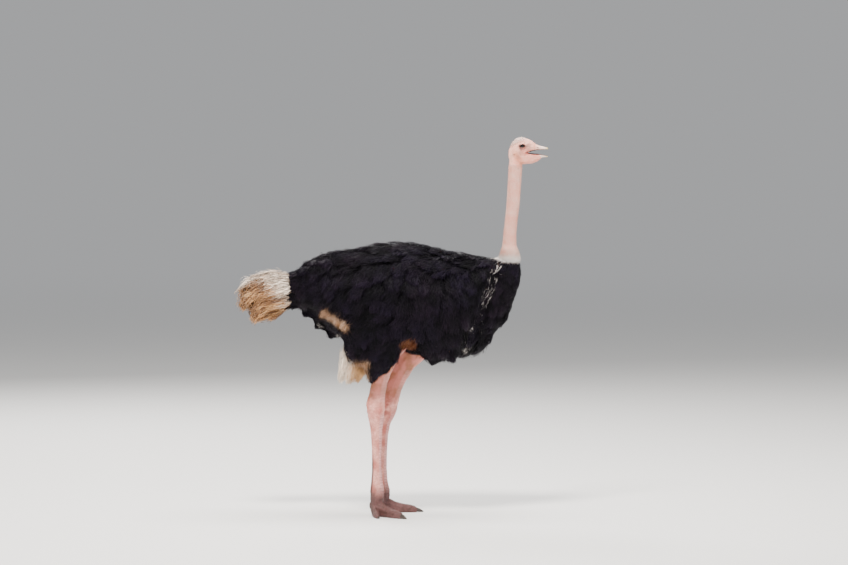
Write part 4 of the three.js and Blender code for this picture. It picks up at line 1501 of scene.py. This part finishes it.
def makePlumage(name, form, chosen, plan, seed, material, slot, lieOf, replaced=()):
    rng = np.random.default_rng(seed)
    places, normals = scattered(form, chosen, plan["count"] // quickShare, rng)
    curve, clumpToneAndHighlight = plumeCurves(form, chosen, places, normals, lieOf, plan, rng)
    width = plan["width"] * rng.uniform(0.75, 1.25, len(curve))
    barbs, barbAlong, vanes, vaneAlong = plumeStrands(curve, normals, width, plan, rng)
    held = plan["stray"] + plan["proud"] * rng.random(len(barbs)) ** 2
    barbs = heldNear(form, barbs.reshape(-1, 3), np.repeat(held, barbs.shape[1])).reshape(barbs.shape)
    vanes = heldNear(form, vanes.reshape(-1, 3), plan["vaneStray"]).reshape(vanes.shape)
    # a plume's shade: random, plus the offset of its region and its clump's tone and painted highlight
    plumeShade = rng.beta(2, 2.5, len(curve)) * 0.5 + plan["tone"] + clumpToneAndHighlight
    fieldsOf = markFields(plan, material, rng)
    batches = []
    for centres, along, per, half, taper in (
            (barbs, barbAlong, plan["barbs"], plan["half"], (1.0,)),
            (vanes, vaneAlong, 1, plan["vane"], (0.6, 1.0, 0.7))):
        halfWidths = half * rng.uniform(0.7, 1.3, (len(centres), 1)) * np.array(taper)
        shade = np.repeat(plumeShade, per) + rng.normal(0, 0.16, len(centres))
        # the vanes below the barbs keep only 0.4 of the shade: painted shade under the barbs
        shade = np.clip(shade if per > 1 else shade * 0.4, 0, 1)
        batches.append(strandBatch(centres, np.repeat(normals, per, axis=0), halfWidths, along, "body",
                                   np.repeat(curve[:, 0], per, axis=0), shade, fieldsOf,
                                   0.42 if per > 1 else 0.16))
    shape = makeLocks(name, batches)
    print("%s: %d plumes, %d triangles" % (name, len(curve), len(shape.data.polygons)))
    return dressed(shape, material, slot, *replaced)


def nodeFaces(*names):
    return np.nonzero(np.isin(faceNode, [plumedNodes.index(n) for n in names]))[0]


# The flank plumes hang almost straight down.
def flankLie(places, normals):
    return laidFlat(unit(np.array((-0.10, 0.0, -1.0)) + swirls(places, 0.09, 34) * 0.25), normals)


# The coverts reach back over the root of the tail.
def covertLie(places, normals):
    return laidFlat(unit(np.array((-1.0, 0.0, -0.18)) + swirls(places, 0.06, 37) * 0.3), normals, 0.5)


def tailLie(places, normals):
    x, z = places[:, 0], places[:, 2]
    back = ramp(-x, 0.70, 0.93)
    low = ramp(-z, -1.42, -1.28)
    fall = np.clip(0.18 + 0.9 * back + 0.55 * low, 0, 1.6)
    lie = np.stack((-np.ones_like(x), places[:, 1] * 1.2, -fall * 1.35), axis=1)
    return laidFlat(unit(unit(lie) + swirls(places, 0.05, 51) * 0.30), normals)


def quillLie(places, normals):
    return laidFlat(np.array((-0.16, 0.0, -1.0)) + np.zeros_like(places), normals)


def neckLie(places, normals):
    lie = np.array((-0.25, 0.0, -1.0)) + np.zeros_like(places)
    return laidFlat(unit(unit(lie) + swirls(places, 0.06, 61) * 0.18), normals)


# Back over the crown and cheeks, and down the nape.
def headLie(places, normals):
    lie = np.array((-1.0, 0.0, -0.35)) + np.zeros_like(places)
    return laidFlat(unit(unit(lie) + swirls(places, 0.02, 64) * 0.35), normals)


# The outline that loose plumes lie on, close round their own node.
loosePlan = {"voxel": 0.008, "rounds": 4, "bridge": 0.012, "inset": 0.003}


def looseForm(name, names):
    voxel, rounds, bridge = loosePlan["voxel"], loosePlan["rounds"], loosePlan["bridge"]
    shape = closedForm(name, names, voxel, rounds, bridge,
                       lambda points: np.full(len(points), loosePlan["inset"]))
    form = formOf(shape, rounds)
    form.update({"bridge": bridge, "shell": shellRound(names, voxel, rounds, bridge)})
    removed(shape)
    return form


# Where one piece of the coat ends and the next begins, and the level where the quills end.
borders = {
    "rumpFront": -0.22,
    "fringeTop": 1.34,
    "covertFront": -0.57,
    "covertBottom": 1.32,
    "bareTailRoot": 0.042,
    "quillTop": 0.99,
}


def makeBlackPiece(name, chosen, region, seed, lieOf, replaced=()):
    makePlumage(name, bodyForm, chosen, plumePlans[region], seed, "black", "black_plumage", lieOf, replaced)


for number, side in enumerate(sides):
    wingName, flankName, quillName = "wing_" + side, "flank_" + side, "wing_plume_" + side
    makeBlackPiece(wingName + "_plumage", nodeFaces(wingName), "wing", 100 + number, bodyLie)
    makeBlackPiece(flankName + "_plumage", nodeFaces(flankName), "flank", 110 + number, flankLie,
                   (flankName,))
    quillForm = looseForm("quillForm", [quillName])
    quillFaces = np.nonzero(centresOf(quillForm)[:, 2] < borders["quillTop"])[0]
    makePlumage("wing_quills_" + side, quillForm, quillFaces, plumePlans["quill"], 130 + number,
                "pale", "tan_plumage", quillLie, (quillName,))
trunkFaces = nodeFaces("trunk")
trunkX, trunkZ = faceCentres[trunkFaces, 0], faceCentres[trunkFaces, 2]
atRear = trunkX < borders["rumpFront"]
inFringe = atRear & (trunkZ < borders["fringeTop"])
overTail = (trunkX < borders["covertFront"]) & (trunkZ > borders["covertBottom"])
makeBlackPiece("rump_plumage", trunkFaces[atRear & ~inFringe], "trunk", 120, bodyLie)
makeBlackPiece("back_plumage", trunkFaces[~atRear], "trunk", 121, bodyLie)
makeBlackPiece("rump_fringe", trunkFaces[inFringe], "fringe", 122, bodyLie)
makeBlackPiece("tail_coverts", trunkFaces[overTail], "coverts", 123, covertLie)
tailForm = looseForm("tailForm", ["tail"])
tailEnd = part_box("tail")[1].x - borders["bareTailRoot"]
tailFaces = np.nonzero(centresOf(tailForm)[:, 0] < tailEnd)[0]
makePlumage("tail_plumage", tailForm, tailFaces, plumePlans["tail"], 140,
            "pale", "tan_plumage", tailLie, ("tail",))


# Short feathers that grow singly: root and middle on the skin, tip along the lie.
def makeShortCoat(name, places, normals, lie, plan, seed):
    rng = np.random.default_rng(seed)
    count = len(places)
    length = plan["length"](places) * rng.uniform(*plan["spread"], count)
    turn = rng.normal(0, plan["yaw"], count)[:, None]
    lie = unit(lie * np.cos(turn) + np.cross(normals, lie) * np.sin(turn))
    lift = (plan["lift"](places) * rng.uniform(0.1, 1.0, count))[:, None]
    tips = places + lie * (length * 0.65)[:, None] + normals * lift
    wanted = places - lie * (length * 0.35)[:, None]
    roots = nearestOn(skinTree, wanted)[0] - normals * 0.0006
    control = places + normals * (length * 0.04)[:, None]
    curve = np.stack((roots, control, tips), axis=1)
    steps = np.array((0.0, 0.5, 1.0))
    centres = bezier(curve, np.broadcast_to(steps, (count, 1, 3)))[:, 0]
    half = plan["half"](places) * rng.uniform(0.7, 1.3, count)
    along = np.broadcast_to(steps, (count, 3))
    shade = np.clip(0.5 + 0.35 * softNoise(places, 0.03, seed) + rng.normal(0, 0.20, count), 0, 1)
    shape = makeLocks(name, [strandBatch(centres, normals, half[:, None], along, "neck", roots, shade,
                                         markFields(plan, "down", rng), 0.45)])
    print("%s: %d locks, %d triangles" % (name, count, len(shape.data.polygons)))
    dressed(shape, "down", "skin")


def steady(value):
    return lambda places: np.full(len(places), value)


# How far a place is up the crown and nape, 0 on the face and 1 on top.
def onCrown(p):
    eyeX, eyeZ = eyeCentre("left")[0][[0, 2]]
    return ramp(p[:, 2] - 0.55 * (p[:, 0] - eyeX), eyeZ + 0.020, eyeZ + 0.046)


shortPlans = {
    "neck": {"count": 21000, "spread": (0.7, 1.25),
             "length": lambda p: mixed(0.032, 0.0135, ramp(p[:, 2], 1.645, 1.70)),
             "yaw": 0.24, "lift": lambda p: mixed(0.016, 0.0034, ramp(p[:, 2], 1.65, 1.69)),
             "half": lambda p: mixed(0.0013, 0.00060, ramp(p[:, 2], 1.64, 1.72))},
    "collar": {"count": 3200, "spread": (0.3, 1.6), "length": steady(0.034),
               "yaw": 0.45, "lift": steady(0.019), "half": steady(0.0012)},
    "head": {"count": 14000, "spread": (0.7, 1.25),
             "length": lambda p: mixed(0.0052, 0.0190, onCrown(p)),
             "yaw": 0.35, "lift": lambda p: mixed(0.0011, 0.0085, onCrown(p)),
             "half": lambda p: mixed(0.00026, 0.00050, onCrown(p))},
}


# Scatters one short coat over the chosen faces of the skin and grows it there.
def growShortCoat(name, plan, chosen, lieOf, seed, rng):
    places, normals = scattered(skinForm, np.nonzero(chosen)[0], plan["count"] // quickShare, rng)
    makeShortCoat(name, places, normals, lieOf(places, normals), plan, seed)


makeBlackPiece("breast_plumage", nodeFaces("neck_base"), "breast", 151, neckLie)
skinForm = formOf(skin, 2)
skinCentres = centresOf(skinForm)
skinLevel = skinCentres[:, 2]
onNeck = skinCentres[:, 0] > markPlan["neckRear"]
seam = 0.004  # overlap of one short coat with the next
neckFaces = onNeck & (skinLevel > markPlan["collar"] - seam) & (skinLevel < neckTop + seam)
collarPlan = {"rise": 0.012, "half": 0.016}
inCollar = np.abs(skinLevel - (markPlan["collar"] + collarPlan["rise"])) < collarPlan["half"]


# Feathers of the head leave the lids, the lore, the lips and the mouth bare.
def headFaces():
    local = faceLocal(skinCentres)
    lids = lidPlaces(skinCentres)
    bare = lids["front"] & (lids["distance"] < 8)
    bare |= softRidge(local, (20, 28, -2), (84, 16, -4), 16) > 0.45
    bare |= softRidge(local, (24, 28, -38), (120, 14, -44), 12) > 0.40
    bare |= (local[:, 0] > 16) & (np.abs(local[:, 2] + 39) < 9 + 0.25 * np.maximum(local[:, 0] - 28, 0))
    return (skinLevel > neckTop - seam) & ~bare


rng = np.random.default_rng(150)
growShortCoat("neck_down", shortPlans["neck"], neckFaces, neckLie, 152, rng)
growShortCoat("collar_down", shortPlans["collar"], onNeck & inCollar, neckLie, 154, rng)
growShortCoat("head_down", shortPlans["head"], headFaces(), headLie, 153, rng)


# Eyes, lashes, bill and claws.
eyePlan = {
    "rings": 30,
    "turns": 44,
    "cornea": 0.055,  # bulge over the pupil, as a share of the radius
    "irisAngle": 0.88,
    "lashes": {"upper": 28, "lower": 14, "length": (0.0080, 0.0045), "half": 0.00024},
}


def makeEye(side):
    centre, radius = eyeCentre(side)
    outward, ahead, above = [axis * (1, sides[side], 1) for axis in eyeAxes()]
    ball = bmesh.new()
    bmesh.ops.create_uvsphere(ball, u_segments=eyePlan["turns"], v_segments=eyePlan["rings"], radius=1.0)
    mesh = bpy.data.meshes.new("eyeball_" + side)
    ball.to_mesh(mesh)
    ball.free()
    shape = linked("eyeball_" + side, mesh)
    unitPoints = pointsOf(shape)
    angle = np.arccos(np.clip(unitPoints[:, 2], -1, 1))
    bulge = 1 + eyePlan["cornea"] * np.exp(-(angle / 0.62) ** 2)
    turned = unitPoints[:, :1] * ahead + unitPoints[:, 1:2] * above * sides[side]
    turned += unitPoints[:, 2:] * outward
    setPoints(shape, centre + turned * radius * bulge[:, None])
    mesh.shade_smooth()
    writeField(shape, "irisRadius", angle / eyePlan["irisAngle"])
    dressed(shape, "eye", "eye", "eye_" + side)


# Bristles along both lids that curve out and up, or out and down.
def makeLashes(side):
    plan = eyePlan["lashes"]
    rng = np.random.default_rng(170)
    centre, radius = eyeCentre(side)
    outward, ahead, above = [axis * (1, sides[side], 1) for axis in eyeAxes()]
    curves = []
    for lid, turnSign, length in (("upper", 1, plan["length"][0]), ("lower", -1, plan["length"][1])):
        count, tall = plan[lid], lidPlan[lid]
        for turn in np.linspace(0.12, math.pi - 0.12, count) + rng.normal(0, 0.03, count):
            u, v = lidPlan["halfLength"] * math.cos(turn), tall * turnSign * math.sin(turn)
            facing = unit(outward * 1.0 + (ahead * u + above * v) * 1.04 / (radius * 1000))
            root = centre + facing * (radius + 0.0012)
            away = ahead * math.cos(turn) * 0.7 + above * turnSign * (0.5 + 0.4 * math.sin(turn))
            size = length * rng.uniform(0.75, 1.15)
            control = root + outward * size * 0.6 + away * size * 0.15
            tip = control + away * size * 0.6 + outward * size * 0.15
            curves.append((root - facing * 0.0005, control, tip))
    curve = np.array(curves)
    steps = np.array((0.0, 0.12, 0.4, 0.75, 1.0))
    centres = bezier(curve, np.broadcast_to(steps, (len(curve), 1, 5)))[:, 0]
    halfWidths = plan["half"] * np.array((1.0, 0.9, 0.6)) * np.ones((len(curve), 1))
    along = np.broadcast_to(steps, (len(curve), 5))
    shape = makeLocks("lashes_" + side, [strandBatch(
        centres, np.tile(ahead, (len(curve), 1)), halfWidths, along, "neck", curve[:, 0],
        np.full(len(curve), 0.2), markFields({}, "black", rng), 0.8)])
    dressed(shape, "black", "black_plumage")


for side in sides:
    makeEye(side)
    makeLashes(side)


billPlan = {
    "voxel": 0.0009,
    "swell": 0.0003,
    "nostril": ((95.0, -9.0), (107.0, -10.5)),  # ends of the slit, from the eye's centre
    "nostrilHalf": 2.0,
    "nostrilDeep": 1.2,
    "groove": ((107.0, -10.5), (138.0, -13.5), 1.6, 0.7),  # start, end, width, depth
    "culmen": (4.0, 0.8),  # half width and height of the ridge along the top
    "nail": (152.0, 0.6),  # where the hard tip starts, and how far it stands up
    "tip": (140.0, 163.0),
    "pinkFade": (84, 128),
}


def sideSegment(local, start, end):
    start, end = np.array(start), np.array(end)
    flat = local[:, [0, 2]] - start
    along = end - start
    share = np.clip(flat @ along / (along @ along), 0, 1)
    return np.linalg.norm(flat - share[:, None] * along, axis=1)


def makeBill(name, upper):
    plan = billPlan
    shape = remeshed(joinedNodes(name + "_horn", [name], plan["swell"]), plan["voxel"], 1)
    points = pointsOf(shape)
    normals = normalsOf(shape)
    inside = mouthDepth(points, normals)
    points = relaxed(points, edgesOf(shape), 24, 1 - 0.8 * ramp(inside, 0.1, 0.4))
    setPoints(shape, points)
    normals = normalsOf(shape)
    local = faceLocal(points)
    nail = plan["nail"][1] * ramp(local[:, 0], plan["nail"][0] - 1.5, plan["nail"][0] + 1.0)
    push = nail + softNoise(points * (0.2, 1, 1), 0.002, 71) * 0.07
    nostril = np.zeros(len(points))
    if upper:
        flank = ramp(np.abs(normals[:, 1]), 0.25, 0.6)
        nostril = np.exp(-(sideSegment(local, *plan["nostril"]) / plan["nostrilHalf"]) ** 2) * flank
        start, end, wide, deep = plan["groove"]
        groove = np.exp(-(sideSegment(local, start, end) / wide) ** 2) * flank
        half, height = plan["culmen"]
        ridge = height * np.exp(-(local[:, 1] / half) ** 2) * ramp(normals[:, 2], 0.2, 0.7)
        push += ridge - nostril * plan["nostrilDeep"] - groove * deep
    points = points + normals * (push * (1 - inside) / 1000)[:, None]
    points[:, 0] = np.minimum(points[:, 0], cadHigh.x + 0.001)
    setPoints(shape, points)
    shape.data.shade_smooth()
    writeFields(shape, {
        "mouthDepth": inside,
        "nostril": ramp(nostril, 0.25, 0.6),
        "billTip": ramp(local[:, 0], *plan["tip"]),
        "billPink": (1 - ramp(local[:, 0], *plan["pinkFade"])) * (0.55 if upper else 1.0),
    })
    print("%s: %d faces" % (name, len(shape.data.polygons)))
    dressed(shape, "bill", "bill_horn", name)


makeBill("bill_upper", True)
makeBill("bill_lower", False)


clawPlan = {"voxel": 0.0011, "swell": 0.0003, "ridge": 0.0004}


def makeClaw(name):
    shape = remeshed(joinedNodes(name + "_horn", [name], clawPlan["swell"]), clawPlan["voxel"], 1)
    points = relaxed(pointsOf(shape), edgesOf(shape), 30)
    setPoints(shape, points)
    rings = softNoise(points * (1, 1, 0.4), 0.0035, 72) + softNoise(points, 0.0016, 73) * 0.5
    points = points + normalsOf(shape) * (rings * clawPlan["ridge"])[:, None]
    points[:, 2] = np.maximum(points[:, 2], 0)
    setPoints(shape, points)
    shape.data.shade_smooth()
    dressed(shape, "claw", "claw_horn", name)


for side in sides:
    makeClaw("claw_main_" + side)
    makeClaw("claw_outer_" + side)


# Masks that the skin's material reads.
def finishSkin():
    points, normals = pointsOf(skin), normalsOf(skin)
    z = points[:, 2]
    onHead = z > 1.7
    shade, throat, pink = np.zeros((3, len(points)))
    shade[onHead], throat[onHead], pink[onHead] = faceMarks(points[onHead])
    run, share = plateRows(points, normals)
    phase = np.mod(run, 1.0)
    seams = np.maximum(1 - ramp(phase, 0.0, 0.14), ramp(phase, 0.93, 1.0))
    behind = ramp(-normals[:, 0], 0.45, 0.85)
    writeFields(skin, {
        "faceShade": shade,
        "throatTan": throat,
        "facePink": pink,
        "mouthDepth": mouthDepth(points, normals) * (points[:, 0] > 0.82),
        "plate": share * (z < 0.9),
        "plateSeam": seams * share * 0.6 * (z < 0.95),
        "thigh": ramp(z, 0.68, 0.80),
        # back of the lower shank: darker scaled skin, and painted shade on the side turned away
        "rearScalesAndShade": behind * ramp(0.42 - z, 0.0, 0.10) * (z > 0.02) * 0.85,
    })


finishSkin()
dressed(skin, "skin", "skin", "trunk", "neck_base", "neck_upper", "neck_lower", "head",
        *[part + side for side in sides for part in
          ("wing_", "drumstick_", "shank_", "foot_", "toe_main_", "toe_outer_")])
removed(coatForm)
